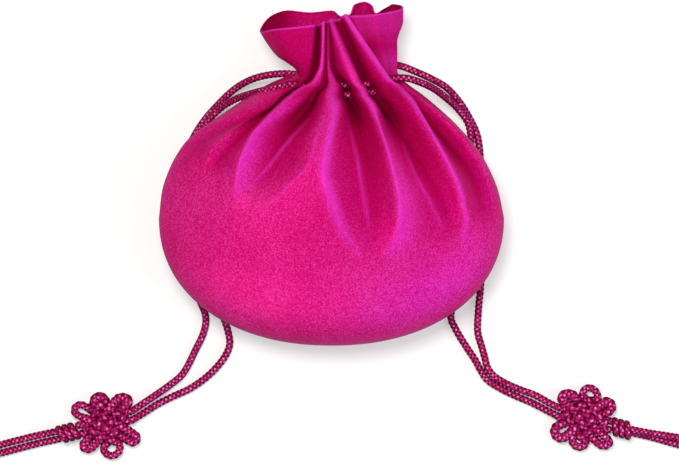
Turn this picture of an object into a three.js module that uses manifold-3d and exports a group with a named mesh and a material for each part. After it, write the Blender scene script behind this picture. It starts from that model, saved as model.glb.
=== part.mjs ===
// A Korean fortune pouch: a round bag of lined satin, drawn shut by two cords, lying on its back.
// Units are millimetres. +X is to the right, +Y runs from the bottom edge to the mouth, +Z is up.

import * as THREE from 'three';
import { mergeVertices } from 'three/addons/utils/BufferGeometryUtils.js';
import Module from 'manifold-3d';

const wasm = await Module();
wasm.setup();

// Belly
const bellyWidth = 137.2;
const bottomToWidest = 50.8;
const bottomToNeck = 108;
const bellyFrontRise = 26;
const bellyBackFall = 22.5;
const seamHeight = 19;
const lowerRoundness = 2.15;
const shoulderFullness = 2.2;

// Neck, where the cords gather the cloth
const neckWidth = 39.8;
const neckDepth = 26;
const neckShift = 6.5;
const neckTilt = 5.4;
const throatWidth = 11.6;
const throatDepth = 7.6;
const throatShift = 4;
const throatOverlap = 2;
const throatTaper = 0.85;

// Ruffle above the neck
const ruffleWidth = 57;
const ruffleLength = 24;
const ruffleDepth = 28;
const ruffleFloor = 6.4;

// Cloth and cord
const clothWall = 1.6;
const seamGap = 0.3;
const foldDepth = 1;
const cordDiameter = 3;
const cordClearance = 0.33;
const jointGap = 0.6;
const loopSpacing = 3.8;
const loopInset = 3.5;
const loopSink = 5.5;
const loopsBelowNeck = 1.2;
const heldLength = 15;
const loopOpening = 40;
const loopTurn = 20;

// Knots
const latticePitch = 3.3;
const knotCordDiameter = 2.8;
const sideEarReach = 7.2;
const sideEarSpread = 3.2;
const cornerEarReach = 4.6;
const cornerEarSpread = 2.8;
const knotReach = 11;
const connectionLength = 7.6;
const connectionDiameter = 7.4;
const endKnotLength = 9;
const endKnotDiameter = 7.4;
const freeEnd = 7;
const weaveShare = 0.38;

// An ear of the flower knot: shares of its half width and of its reach
const earShape = [[-1, 0.5], [-0.66, 0.86], [0, 1], [0.66, 0.86], [1, 0.5]];

// Levels at which the tables give the seams and the folds, from 1 at the widest line to 2 at the neck.
const gatherLevels = [1, 1.25, 1.5, 1.7, 1.85, 2];
const narrowing = [0, 0.06, 0.214, 0.464, 0.702, 1];
const sideways = [0, -0.1, -0.16, 0.1, 0.32, 1];

// Rows of the ruffle, from the neck to the rim, and how far out towards the rim they have come: evenly,
// soon, as the lobes of the ruffle do, or along the seams.
const ruffleShares = [0, 0.2, 0.4, 0.6, 0.8, 1];
const ways = {
  even: [0, 0.2, 0.4, 0.6, 0.8, 1],
  soon: [0, 0.35, 0.6, 0.8, 0.91, 1],
  leftEdge: [0, 0.12, 0.5, 0.71, 0.87, 1],
  leftLobe: [0, 0.2, 0.53, 0.74, 0.89, 1],
  rightLobe: [0, 0.3, 0.6, 0.79, 0.91, 1],
  rightEdge: [0, -0.7, -0.6, 0.4, 1, 1],
};

// Fold lines round the bag from the right seam over the front. At each gather level, angles gives where
// the line lies and depths how far it lies under the cloth around it, in millimetres times foldDepth. Rim
// gives its end as shares of the ruffle's half width, length and half depth.
const folds = [
  { angles: [0, 0, 0, 0, 0, 0], depths: [0, 0, 0, 0, 0, 0], rim: [1, 1.03, 0], way: 'rightEdge' },
  {
    angles: [19, 19, 21, 20, 13, 14],
    depths: [0, -0.8, -1.2, -0.8, 0.2, 2.6],
    rim: [0.65, 0.98, 0.47],
    way: 'rightLobe',
  },
  {
    angles: [30, 31, 33, 31, 20, 22],
    depths: [0.3, 2, 4.3, 5.8, 5.8, 4.6],
    rim: [0.28, 0.96, 0.36],
    way: 'even',
  },
  {
    angles: [36, 39, 43, 40, 32, 36],
    depths: [-1.1, -2.1, -2.6, -2.2, -1.6, -1],
    rim: [0.19, 0.96, 0.93],
    way: 'even',
  },
  {
    angles: [50, 51, 55, 57, 57, 68],
    depths: [1.8, 4.7, 7.9, 9.8, 9.6, 8.6],
    rim: [0.09, 0.9, 0.36],
    way: 'even',
  },
  {
    angles: [67, 67, 68, 68, 67, 80],
    depths: [-1.1, -2.2, -2.6, -2.2, -1.6, -1],
    rim: [0.007, 0.88, 0.82],
    way: 'even',
  },
  {
    angles: [73, 74, 75, 77, 79, 95],
    depths: [2, 4.9, 8.1, 9.6, 9, 7],
    rim: [-0.046, 0.87, 0.4],
    way: 'soon',
  },
  {
    angles: [89, 92, 91, 90, 92, 104],
    depths: [-0.9, -2, -2, -1.4, -0.7, 1],
    rim: [-0.06, 0.87, 0.38],
    way: 'soon',
  },
  {
    angles: [104, 103, 96, 96, 98, 110],
    depths: [0, -1.7, -2, -1.4, -0.7, 1],
    rim: [-0.074, 0.86, 0.38],
    way: 'soon',
  },
  {
    angles: [113, 111, 106, 108, 111, 117],
    depths: [0.8, 3.2, 6.7, 9, 8, 4],
    rim: [-0.088, 0.86, 0.4],
    way: 'soon',
  },
  {
    angles: [123, 123, 123, 124, 126, 130],
    depths: [0, -1.1, -2.2, -2.3, -1.9, -1],
    rim: [-0.12, 0.84, 0.79],
    way: 'soon',
  },
  {
    angles: [135, 135, 132, 133, 136, 144],
    depths: [0, 0, 2.5, 4.5, 6.1, 6.5],
    rim: [-0.18, 0.81, 0.36],
    way: 'soon',
  },
  {
    angles: [143, 142, 140, 137, 140, 150],
    depths: [0, 0, 0, 0, 0, 0],
    rim: [-0.245, 0.78, 0.83],
    way: 'leftLobe',
  },
  {
    angles: [153, 153, 152, 143, 145, 156],
    depths: [0, 0, 1.3, 2.4, 1.5, 0],
    rim: [-0.54, 0.75, 0.76],
    way: 'leftLobe',
  },
  {
    angles: [168, 168, 168, 160, 153, 164],
    depths: [0, 0, 0, 0, 0, 0],
    rim: [-0.81, 0.725, 0.5],
    way: 'leftLobe',
  },
  {
    angles: [180, 180, 180, 180, 180, 180],
    depths: [0, 0, 0, 0, 0, 0],
    rim: [-1, 0.71, -0.14],
    way: 'leftEdge',
  },
];

// The rim behind, from the left seam to the right one, and the depth of every second fold of the back.
const backRims = [
  { rim: [-0.88, 0.96, -0.61], way: 'leftEdge' },
  { rim: [-0.65, 1.07, -0.79], way: 'leftLobe' },
  { rim: [-0.3, 1.04, -0.71], way: 'even' },
  { rim: [0.035, 1.06, -0.6], way: 'even' },
  { rim: [0.126, 0.98, -0.48], way: 'even' },
  { rim: [0.25, 1, -0.43], way: 'even' },
  { rim: [0.315, 1.17, -0.54], way: 'even' },
  { rim: [0.48, 1.21, -0.5], way: 'even' },
  { rim: [0.575, 1.15, -0.43], way: 'even' },
  { rim: [0.62, 1.02, -0.36], way: 'even' },
  { rim: [0.72, 1.09, -0.43], way: 'even' },
  { rim: [0.856, 1.17, -0.46], way: 'rightLobe' },
  { rim: [0.97, 1.15, -0.29], way: 'rightEdge' },
];
const backDepths = [0, 0.5, 1.8, 3.6, 5, 6];

// Fineness of the mesh
const frontColumns = 2;
const backColumns = 1;
const lowerRows = 6;
const upperRows = 11;
const ruffleRows = 5;
const cordSides = 8;
const knotCordSides = 6;
const cordStep = 10;
const knotStep = 4.2;
const loopStep = 5;
const hollowColumns = 16;

const satin = { color: 0xd81b84, roughness: 0.38, metalness: 0 };
const braid = { color: 0xa02a60, roughness: 0.5, metalness: 0 };

// Levels at which the folds begin, roll up and tilt towards the neck, and their forms
const foldStart = 0.8;
const rollStart = 1.58;
const rollEnd = 1.9;
const tiltStart = 1.5;
const throatStart = 1.53;
const mouthStart = 2 + ruffleFloor / ruffleLength;
const mouthEnd = 2.7;
const mouthFloorShare = 0.5;
const mouthSlit = 1.2;
const ridgeCrispness = 0.6;
const rollRoundness = 2.4;

const { lerp, clamp, degToRad, smoothstep } = THREE.MathUtils;
const cordRadius = cordDiameter / 2;

// Solids

function toManifold(geometry) {
  const bare = geometry.clone();
  bare.deleteAttribute('normal');
  bare.deleteAttribute('uv');
  const merged = mergeVertices(bare, 1e-4);
  const position = merged.getAttribute('position').array;
  const solid = new wasm.Manifold(new wasm.Mesh({
    numProp: 3,
    vertProperties: new Float32Array(position),
    triVerts: new Uint32Array(merged.index.array),
  }));
  return solid;
}

function toGeometry(solid) {
  const mesh = solid.getMesh();
  const geometry = new THREE.BufferGeometry();
  geometry.setAttribute('position', new THREE.BufferAttribute(new Float32Array(mesh.vertProperties), 3));
  geometry.setIndex(new THREE.BufferAttribute(new Uint32Array(mesh.triVerts), 1));
  geometry.computeVertexNormals();
  return geometry;
}

// A closed loft through rings of points, each ring going the same way round, capped to its end points.
function loft(rings, firstPoint, lastPoint) {
  const count = rings[0].length;
  const points = [firstPoint, ...rings.flat(), lastPoint];
  const lastIndex = points.length - 1;
  const faces = [];
  for (let column = 0; column < count; column += 1) {
    const next = (column + 1) % count;
    faces.push(0, 1 + column, 1 + next);
    for (let row = 0; row < rings.length - 1; row += 1) {
      const low = 1 + row * count;
      const high = low + count;
      faces.push(low + column, high + column, high + next);
      faces.push(low + column, high + next, low + next);
    }
    const top = 1 + (rings.length - 1) * count;
    faces.push(top + column, lastIndex, top + next);
  }
  const geometry = new THREE.BufferGeometry().setFromPoints(points);
  geometry.setIndex(faces);
  return geometry;
}

// The bag's outer surface

// The value of a table at a place between its stops.
function between(stops, values, place) {
  const last = stops.length - 1;
  if (place <= stops[0]) return values[0];
  if (place >= stops[last]) return values[last];
  const index = stops.findIndex((stop) => stop > place) - 1;
  return lerp(values[index], values[index + 1], (place - stops[index]) / (stops[index + 1] - stops[index]));
}

// Every fold line round the bag, the back's evenly spaced.
const lines = [...folds];
backRims.forEach(({ rim, way }, index) => {
  const angle = 180 + 180 * (index + 1) / (backRims.length + 1);
  const depths = index % 2 === 1 ? backDepths : backDepths.map(() => 0);
  lines.push({ angles: gatherLevels.map(() => angle), depths, rim, way });
});

// A level runs from 0 at the bottom edge over 1 at the widest line and 2 at the neck to 3 at the rim.
function sectionAt(level) {
  const bellyHalf = bellyWidth / 2;
  if (level <= 1) {
    const along = 1 - Math.cos(level * Math.PI / 2);
    const full = Math.pow(1 - Math.pow(1 - along, lowerRoundness), 1 / lowerRoundness);
    return {
      along: along * bottomToWidest,
      centre: 0,
      half: bellyHalf * full,
      front: bellyFrontRise * full,
      back: bellyBackFall * full,
    };
  }
  const climb = Math.min(level, 2) - 1;
  const thin = Math.pow(climb, shoulderFullness);
  return {
    along: lerp(bottomToWidest, bottomToNeck, climb),
    centre: neckShift * between(gatherLevels, sideways, level),
    half: lerp(bellyHalf, neckWidth / 2, between(gatherLevels, narrowing, level)),
    front: lerp(bellyFrontRise, neckDepth / 2, thin),
    back: lerp(bellyBackFall, neckDepth / 2, thin),
  };
}

// Depth of a place between two fold lines: crisp ridges on the belly that become round rolls at the neck.
function depthBetween(first, second, share, level) {
  const fade = clamp((level - foldStart) / (1 - foldStart), 0, 1);
  const from = between(gatherLevels, first.depths, level);
  const to = between(gatherLevels, second.depths, level);
  const walk = from <= to ? share : 1 - share;
  const crisp = lerp(smoothstep(walk, 0, 1), 1 - Math.pow(1 - walk, 2), ridgeCrispness);
  const roll = 1 - Math.sqrt(1 - Math.pow(walk, rollRoundness));
  const profile = lerp(crisp, roll, smoothstep(level, rollStart, rollEnd));
  return foldDepth * fade * lerp(Math.min(from, to), Math.max(from, to), profile);
}

// A point on the belly or the neck, between one fold line and the next.
function bellyPoint(index, share, level) {
  const first = lines[index];
  const second = lines[(index + 1) % lines.length];
  const turn = index + 1 === lines.length ? 360 : 0;
  const from = between(gatherLevels, first.angles, level);
  const to = between(gatherLevels, second.angles, level) + turn;
  const angle = degToRad(lerp(from, to, share));
  const section = sectionAt(level);
  const rise = Math.sin(angle) > 0 ? section.front : section.back;
  const out = new THREE.Vector3(Math.cos(angle) / section.half, 0, Math.sin(angle) / rise).normalize();
  const tilt = neckTilt * Math.sin(angle) * smoothstep(level, tiltStart, 2);
  const point = new THREE.Vector3(
    section.centre + section.half * Math.cos(angle),
    section.along - tilt,
    seamHeight + rise * Math.sin(angle),
  );
  point.addScaledVector(out, -depthBetween(first, second, share, level));
  point.z = Math.max(0, point.z);
  return point;
}

const rimCurve = new THREE.CatmullRomCurve3(lines.map(({ rim }) => new THREE.Vector3(
  rim[0] * ruffleWidth / 2,
  bottomToNeck + rim[1] * ruffleLength,
  seamHeight + rim[2] * ruffleDepth / 2,
)), true, 'centripetal');

function surfacePoint(index, share, level) {
  const point = bellyPoint(index, share, Math.min(level, 2));
  if (level <= 2) return point;
  const climb = level - 2;
  const next = (index + 1) % lines.length;
  const spreads = [index, next].map((line) => between(ruffleShares, ways[lines[line].way], climb));
  const rim = rimCurve.getPoint((index + share) / lines.length);
  const along = lerp(point.y, rim.y, climb);
  return point.lerp(rim, lerp(spreads[0], spreads[1], share)).setY(along);
}

function foldedRing(level) {
  const ring = [];
  lines.forEach((line, index) => {
    const columns = index < folds.length - 1 ? frontColumns : backColumns;
    for (let step = 0; step < columns; step += 1) ring.push(surfacePoint(index, step / columns, level));
  });
  return ring;
}

function middleOf(ring) {
  const sum = ring.reduce((total, point) => total.add(point), new THREE.Vector3());
  return sum.divideScalar(ring.length);
}

function bagLevels() {
  const levels = [];
  for (let row = 1; row <= lowerRows; row += 1) levels.push(row / lowerRows);
  for (let row = 1; row <= upperRows; row += 1) levels.push(1 + row / upperRows);
  for (let row = 1; row <= ruffleRows; row += 1) levels.push(2 + row / ruffleRows);
  return levels;
}

// The hollow inside the belly: smooth, one wall inside the deepest folds, narrowing into the throat.
function bellyHollow() {
  const levels = bagLevels().filter((level, row) => level <= 2 && row % 2 === 0);
  const deepest = (lineSet, level) => Math.max(...lineSet.map(
    (line, index) => depthBetween(line, lineSet[(index + 1) % lineSet.length], 0, level)));
  const rings = levels.map((level) => {
    const section = sectionAt(level);
    const narrow = smoothstep(level, throatStart, 2);
    const frontFold = deepest(folds, level) + clothWall;
    const backFold = deepest(lines.slice(folds.length), level) + clothWall;
    const half = lerp(section.half - 2 * clothWall, throatWidth / 2, narrow);
    const front = lerp(section.front - frontFold, throatDepth / 2, narrow);
    const back = lerp(section.back - backFold, throatDepth / 2, narrow);
    const along = section.along + clothWall * Math.max(0, 1 - level);
    const centre = lerp(section.centre, throatShift, narrow);
    return ovalRing(centre, along, half, front, back);
  });
  const mouth = bottomToNeck + ruffleFloor + neckTilt + throatOverlap;
  const taper = throatTaper / 2;
  rings.push(ovalRing(throatShift, mouth, taper * throatWidth, taper * throatDepth, taper * throatDepth));
  const bottom = new THREE.Vector3(0, clothWall, seamHeight);
  return toManifold(loft(rings, bottom, middleOf(rings.at(-1))));
}

function ovalRing(centre, along, half, front, back) {
  const ring = [];
  for (let column = 0; column < hollowColumns; column += 1) {
    const angle = 2 * Math.PI * column / hollowColumns;
    const rise = Math.sin(angle) > 0 ? front : back;
    const height = Math.max(clothWall, seamHeight + rise * Math.sin(angle));
    ring.push(new THREE.Vector3(centre + half * Math.cos(angle), along, height));
  }
  return ring;
}

// A ring inside the ruffle, one wall under the lowest of the folds beside each place. It narrows towards
// the floor of the mouth.
function mouthRing(level) {
  const ring = foldedRing(level);
  const left = (folds.length - 1) * frontColumns;
  const middle = middleOf(ring).x;
  const half = Math.max(...ring.map((point) => Math.abs(point.x - middle)));
  const open = smoothstep(level, mouthStart, mouthEnd);
  const spread = lerp(mouthFloorShare, 1 - clothWall / half, open);
  return ring.map((point, column) => {
    const inner = point.clone();
    inner.x = middle + (point.x - middle) * spread;
    if (column === 0 || column === left) return inner;
    const inFront = column < left;
    const reach = inFront ? frontColumns : backColumns;
    const beside = ring.filter((other, place) => Math.abs(place - column) <= reach
      && place > (inFront ? 0 : left) && place < (inFront ? left : ring.length));
    const heights = beside.map((other) => other.z);
    const slit = mouthSlit / 2;
    const over = Math.max(slit, Math.min(...heights) - clothWall - seamHeight);
    const under = Math.max(slit, seamHeight - Math.max(...heights) - clothWall);
    inner.z = seamHeight + (inFront ? lerp(slit, over, open) : -lerp(slit, under, open));
    return inner;
  });
}

// The bag's outer side up to the rim, turned in there and carried down to the floor of the mouth.
function bagBlank() {
  const rings = bagLevels().map((level) => foldedRing(level));
  const rows = ruffleRows - 1;
  for (let row = 0; row <= rows; row += 1) rings.push(mouthRing(lerp(3, mouthStart, row / rows)));
  const bottom = new THREE.Vector3(0, 0, seamHeight);
  return toManifold(loft(rings, bottom, middleOf(rings.at(-1))));
}

// Cords

function tube(curve, diameter, sides, step) {
  const section = new THREE.Shape().absarc(0, 0, diameter / 2, 0, 2 * Math.PI, false);
  return new THREE.ExtrudeGeometry(section, {
    extrudePath: curve,
    steps: Math.max(2, Math.round(curve.getLength() / step)),
    curveSegments: sides / 2,
    bevelEnabled: false,
  });
}

function cordCurve(points, closed) {
  return new THREE.CatmullRomCurve3(points, closed, 'centripetal');
}

// A tube along a curve that closes on itself.
function closedTube(curve, diameter, sides, step) {
  const steps = Math.round(curve.getLength() / step);
  const frames = curve.computeFrenetFrames(steps, true);
  const points = [];
  const faces = [];
  for (let row = 0; row < steps; row += 1) {
    const centre = curve.getPointAt(row / steps);
    const above = (row + 1) % steps;
    for (let column = 0; column < sides; column += 1) {
      const turn = 2 * Math.PI * column / sides;
      const next = (column + 1) % sides;
      points.push(centre.clone()
        .addScaledVector(frames.normals[row], diameter / 2 * Math.cos(turn))
        .addScaledVector(frames.binormals[row], diameter / 2 * Math.sin(turn)));
      faces.push(row * sides + column, row * sides + next, above * sides + next);
      faces.push(row * sides + column, above * sides + next, above * sides + column);
    }
  }
  const geometry = new THREE.BufferGeometry().setFromPoints(points);
  geometry.setIndex(faces);
  return geometry;
}

// The stretch of a curve between two distances along it.
function stretch(curve, from, to, step) {
  const whole = curve.getLength();
  const count = Math.max(2, Math.round((to - from) / step));
  const points = [];
  for (let index = 0; index <= count; index += 1) {
    points.push(curve.getPointAt(lerp(from, to, index / count) / whole));
  }
  return cordCurve(points, false);
}

// A loop round the neck, in the tilted plane of the gathers, from one side of a gap to the other.
function loopPoints(side, lift) {
  const points = [];
  for (let angle = loopOpening; angle <= 360 - loopOpening; angle += loopTurn) {
    const turn = degToRad(side > 0 ? angle : 180 - angle);
    const half = neckWidth / 2 - loopInset;
    const rise = neckDepth / 2 - loopSink;
    points.push(new THREE.Vector3(
      neckShift + half * Math.cos(turn),
      bottomToNeck - loopsBelowNeck - neckTilt * Math.sin(turn) + lift,
      seamHeight + rise * Math.sin(turn),
    ));
  }
  return points;
}

const onTable = cordRadius + 0.1;

// Routes of the strands from the neck to the knots: across, along, and height over the table.
const leftLowerRoute = [
  [-15.5, 103.6, 25.4], [-21, 102.6, 24.6], [-27, 101.4, 21.5], [-33, 100, 16.5], [-39, 98, 11],
  [-45, 94.4, 6.4], [-50.2, 88.6, 4.8], [-52, 80, 3], [-54.4, 68, onTable], [-56, 52, onTable],
  [-55, 36, onTable], [-50.5, 22, onTable], [-44, 12, onTable], [-41.6, 5, onTable],
  [-41, 0, onTable], [-43, -5, onTable], [-49, -12, onTable], [-57, -17.8, onTable],
  [-64, -21, onTable], [-70.6, -24.4, 1.7], [-75.6, -27.6, 2.1], [-79.5, -30, 2.5],
];
const leftUpperRoute = [
  [-12, 108, 13.4], [-19, 108.4, 13], [-27, 107.6, 11.4], [-33, 105.8, 9], [-39, 102.4, 6],
  [-46, 96, 3], [-52, 89, onTable], [-57, 80, onTable], [-60, 66, onTable], [-61, 50, onTable],
  [-59, 34, onTable], [-54, 20, onTable], [-50.6, 11, onTable], [-51.4, 5, onTable],
  [-54.6, -2, onTable], [-60, -12, onTable], [-65.4, -16.6, 1.9], [-69.6, -19.6, 2.7],
  [-75, -23.2, 3.3], [-80.4, -26.9, 2.5],
];
const rightLowerRoute = [
  [29, 106.2, 24.6], [34, 105, 22.6], [40, 102.6, 18], [46, 98.6, 12], [51, 94.2, 7.4],
  [55, 88.4, 5], [56, 80, 4], [55.6, 66, onTable], [56, 52, onTable], [55, 36, onTable],
  [51.6, 24, onTable], [48, 11, onTable], [50, 6, onTable], [54.6, -1.6, onTable],
  [57.8, -6.4, onTable], [60.2, -10.8, onTable], [62.6, -14.2, onTable], [68.6, -18.1, onTable],
  [74.7, -21, onTable], [80.8, -23.6, 1.7], [86.8, -26.7, 2.1], [90.2, -28.4, 2.5],
];
const rightUpperRoute = [
  [27, 111.6, 13.4], [33.6, 109.2, 13], [40, 106.4, 11], [46, 103, 8.4], [51.6, 97, 5],
  [56, 90, onTable], [58.6, 84, onTable], [60.2, 70, onTable], [61, 54, onTable],
  [60.6, 38, onTable], [60, 24, onTable], [59, 13, onTable], [58.8, 5, onTable],
  [60.4, -1, 1.9], [61.5, -5, 2.6], [62.6, -9.2, 3.5], [65, -12.4, 3.5], [70.2, -15.7, 3.5],
  [76, -18.2, 3.5], [82.1, -20.5, 3.4], [88, -23.8, 3], [91, -25.2, 2.5],
];

// One drawstring, from the knot up its lower strand, round the neck and down its upper strand. The loop
// reaches a little way out of the pleats on both runs, to where the strands hang free.
function drawstring(side, lift, lowerRoute, upperRoute) {
  const lower = lowerRoute.map((point) => new THREE.Vector3(...point)).reverse();
  const upper = upperRoute.map((point) => new THREE.Vector3(...point));
  const loop = loopPoints(side, lift);
  const whole = cordCurve([...lower, ...loop, ...upper], false);
  whole.arcLengthDivisions = 2000;
  const lengths = whole.getLengths();
  const spans = whole.points.length - 1;
  const lengthAt = (index) => lengths[Math.round(whole.arcLengthDivisions * index / spans)];
  const start = lengthAt(lower.length) - heldLength;
  const end = lengthAt(lower.length + loop.length - 1) + heldLength;
  return {
    loop: { curve: stretch(whole, start, end, loopStep), step: loopStep },
    lower: { curve: stretch(whole, 0, start - jointGap, cordStep), step: cordStep },
    upper: { curve: stretch(whole, end + jointGap, whole.getLength(), cordStep), step: cordStep },
  };
}

const leftCord = drawstring(-1, -loopSpacing / 2, leftLowerRoute, leftUpperRoute);
const rightCord = drawstring(1, loopSpacing / 2, rightLowerRoute, rightUpperRoute);

function cordSolid({ curve, step }, diameter) {
  return toManifold(tube(curve, diameter, cordSides, step));
}

// The way that a drawstring takes through the pleats and over the shoulder, a clearance wider than the cord.
function cordWay(cord) {
  const parts = [cord.loop, cord.lower, cord.upper];
  const cuts = parts.map((part) => cordSolid(part, cordDiameter + 2 * cordClearance));
  return cuts.reduce((all, cut) => all.add(cut));
}

// Knots

// A barrel of cord wraps round the X axis.
function wrappedBarrel(length, diameter, wraps) {
  const profile = [new THREE.Vector2(0, 0)];
  const steps = wraps * 2;
  for (let step = 0; step <= steps; step += 1) {
    const bulge = step % 2 === 1 ? 1 : 0.8;
    const taper = step === 0 || step === steps ? 0.62 : 1;
    profile.push(new THREE.Vector2(diameter / 2 * bulge * taper, length * step / steps));
  }
  profile.push(new THREE.Vector2(0, length));
  const barrel = new THREE.LatheGeometry(profile, cordSides);
  barrel.rotateZ(-Math.PI / 2);
  return barrel;
}

// A woven flower knot in its own frame, from the pouch side at -X to the tails at +X. Two sets of four
// cords cross on the diagonals, over and under in turn, and three ears stand out on each side.
function flowerKnot() {
  const diagonal = Math.SQRT1_2;
  const level = knotCordDiameter;
  const weave = knotCordDiameter * weaveShare;
  const offset = (line) => (line - 1.5) * latticePitch;

  // A point on one of the cords: set 1 climbs towards +X +Y, set 2 falls towards +X -Y.
  const onCord = (set, line, along) => {
    const sign = line % 2 === 0 ? 1 : -1;
    const wave = sign * weave * Math.sin(Math.PI * along / latticePitch);
    const x = diagonal * (along + offset(line));
    const y = diagonal * (set === 1 ? along - offset(line) : offset(line) - along);
    return new THREE.Vector3(x, y, level + (set === 1 ? wave : -wave));
  };
  const run = (set, line, forward) => {
    const stops = [-1.5, -0.5, 0.5, 1.5].map((stop) => onCord(set, line, stop * latticePitch));
    return forward ? stops : stops.reverse();
  };
  const ear = (from, to, reach, spread) => {
    const middle = from.clone().add(to).multiplyScalar(0.5).setZ(level);
    const across = to.clone().sub(from).setZ(0).normalize();
    const out = new THREE.Vector3(-across.y, across.x, 0);
    if (out.dot(middle) < 0) out.negate();
    return earShape.map(([side, height]) => middle.clone()
      .addScaledVector(across, side * spread)
      .addScaledVector(out, height * reach));
  };
  const lead = (direction, side) => {
    const y = side * (cordRadius + 0.15);
    const place = (x) => new THREE.Vector3(direction * x, y, level);
    return [place(knotReach), place(2 * latticePitch + 2)];
  };
  const end = (set, line, sign) => onCord(set, line, sign * 2 * latticePitch);
  const cornerEar = (from, to) => ear(from, to, cornerEarReach, cornerEarSpread);
  const sideEar = (from, to) => ear(from, to, sideEarReach, sideEarSpread);
  const through = [
    [...lead(-1, -1), ...run(1, 0, true), ...cornerEar(end(1, 0, 1), end(2, 3, -1)), ...run(2, 3, true),
      ...lead(1, -1).reverse()],
    [...lead(-1, 1), ...run(2, 0, true), ...cornerEar(end(2, 0, 1), end(1, 3, -1)), ...run(1, 3, true),
      ...lead(1, 1).reverse()],
  ];
  const closed = [1, 2].map((set) => [
    ...run(set, 1, true), ...sideEar(end(set, 1, 1), end(set, 2, 1)),
    ...run(set, 2, false), ...sideEar(end(set, 2, -1), end(set, 1, -1)),
  ]);
  const tubes = [
    ...through.map((points) => tube(cordCurve(points, false), knotCordDiameter, knotCordSides, knotStep)),
    ...closed.map((points) => closedTube(cordCurve(points, true), knotCordDiameter, knotCordSides, knotStep)),
  ].map(toManifold);
  return tubes.reduce((knot, next) => knot.add(next));
}

// The tails' knot, with the two cords' short free ends beyond it.
function endKnot() {
  let knot = toManifold(wrappedBarrel(endKnotLength, endKnotDiameter, 3));
  for (const side of [-1, 1]) {
    const height = cordRadius - endKnotDiameter / 2;
    const points = [
      new THREE.Vector3(endKnotLength * 0.6, side * cordRadius * 0.8, 0),
      new THREE.Vector3(endKnotLength + freeEnd * 0.5, side * cordDiameter * 0.7, height),
      new THREE.Vector3(endKnotLength + freeEnd, side * cordDiameter, height),
    ];
    knot = knot.add(toManifold(tube(cordCurve(points, false), cordDiameter, knotCordSides, cordDiameter)));
  }
  return knot;
}

// Assembly

function addMesh(parent, name, geometry, finish) {
  const mesh = new THREE.Mesh(geometry, new THREE.MeshStandardMaterial(finish));
  mesh.name = name;
  parent.add(mesh);
  return mesh;
}

function panels() {
  const bag = bagBlank()
    .subtract(bellyHollow())
    .subtract(cordWay(leftCord))
    .subtract(cordWay(rightCord));
  const room = 4 * bellyWidth;
  const half = (sign) => {
    const block = new THREE.BoxGeometry(room, room, room);
    block.translate(0, 0, seamHeight + sign * (room + seamGap) / 2);
    return bag.intersect(toManifold(block));
  };
  return { front: half(1), back: half(-1) };
}

const pouch = new THREE.Group();
const { front, back } = panels();
addMesh(pouch, 'front_panel', toGeometry(front), satin);
addMesh(pouch, 'back_panel', toGeometry(back), satin);

// Where each knot lies, and the points that its pair of tails passes.
const sides = [
  {
    name: 'left',
    cord: leftCord,
    knot: [-91, -31.4],
    turn: 195,
    tails: [[-119.8, -38.6], [-133, -42], [-152, -46.6]],
  },
  {
    name: 'right',
    cord: rightCord,
    knot: [101.6, -29.8],
    turn: -15,
    tails: [[131, -37], [145, -40], [160, -42.6]],
  },
];

for (const { name, cord, knot, turn, tails } of sides) {
  addMesh(pouch, `${name}_drawstring_loop`, toGeometry(cordSolid(cord.loop, cordDiameter)), braid);
  addMesh(pouch, `${name}_lower_strand`, toGeometry(cordSolid(cord.lower, cordDiameter)), braid);
  addMesh(pouch, `${name}_upper_strand`, toGeometry(cordSolid(cord.upper, cordDiameter)), braid);

  const knotGroup = new THREE.Group();
  knotGroup.position.set(knot[0], knot[1], 0);
  knotGroup.rotation.z = degToRad(turn);
  pouch.add(knotGroup);
  addMesh(knotGroup, `${name}_flower_knot`, toGeometry(flowerKnot()), braid);

  const connection = addMesh(knotGroup, `${name}_connection_knot`,
    wrappedBarrel(connectionLength, connectionDiameter, 3), braid);
  const connectionStart = knotReach + jointGap;
  connection.position.set(connectionStart, 0, connectionDiameter / 2 + 0.1);

  const start = new THREE.Vector3(connectionStart + connectionLength + jointGap, 0, 0);
  start.applyAxisAngle(new THREE.Vector3(0, 0, 1), knotGroup.rotation.z).add(knotGroup.position);
  const middle = [start, ...tails.map(([x, y]) => new THREE.Vector3(x, y, 0))];
  const route = cordCurve(middle, false);
  const heading = route.getTangent(1);
  for (const [label, side] of [['upper', 1], ['lower', -1]]) {
    const points = [0, 0.25, 0.5, 0.75, 1].map((share) => {
      const tangent = route.getTangentAt(share);
      const across = new THREE.Vector3(-tangent.y, tangent.x, 0).multiplyScalar(side * Math.sign(tangent.x));
      return route.getPointAt(share).addScaledVector(across, cordRadius + 0.2).setZ(onTable);
    });
    addMesh(pouch, `${name}_${label}_tail`, toGeometry(toManifold(
      tube(cordCurve(points, false), cordDiameter, cordSides, cordStep))), braid);
  }
  const knotEnd = addMesh(pouch, `${name}_end_knot`, toGeometry(endKnot()), braid);
  knotEnd.position.copy(route.getPoint(1)).addScaledVector(heading, jointGap).setZ(endKnotDiameter / 2 + 0.1);
  knotEnd.rotation.z = Math.atan2(heading.y, heading.x);
}

// The origin is on the table, under the middle of the bag.
const bagBox = new THREE.Box3();
for (const name of ['front_panel', 'back_panel']) bagBox.expandByObject(pouch.getObjectByName(name));
const bagCentre = bagBox.getCenter(new THREE.Vector3());
pouch.position.set(-bagCentre.x, -bagCentre.y, -bagBox.min.z);
pouch.updateMatrixWorld(true);

export default pouch;
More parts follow.
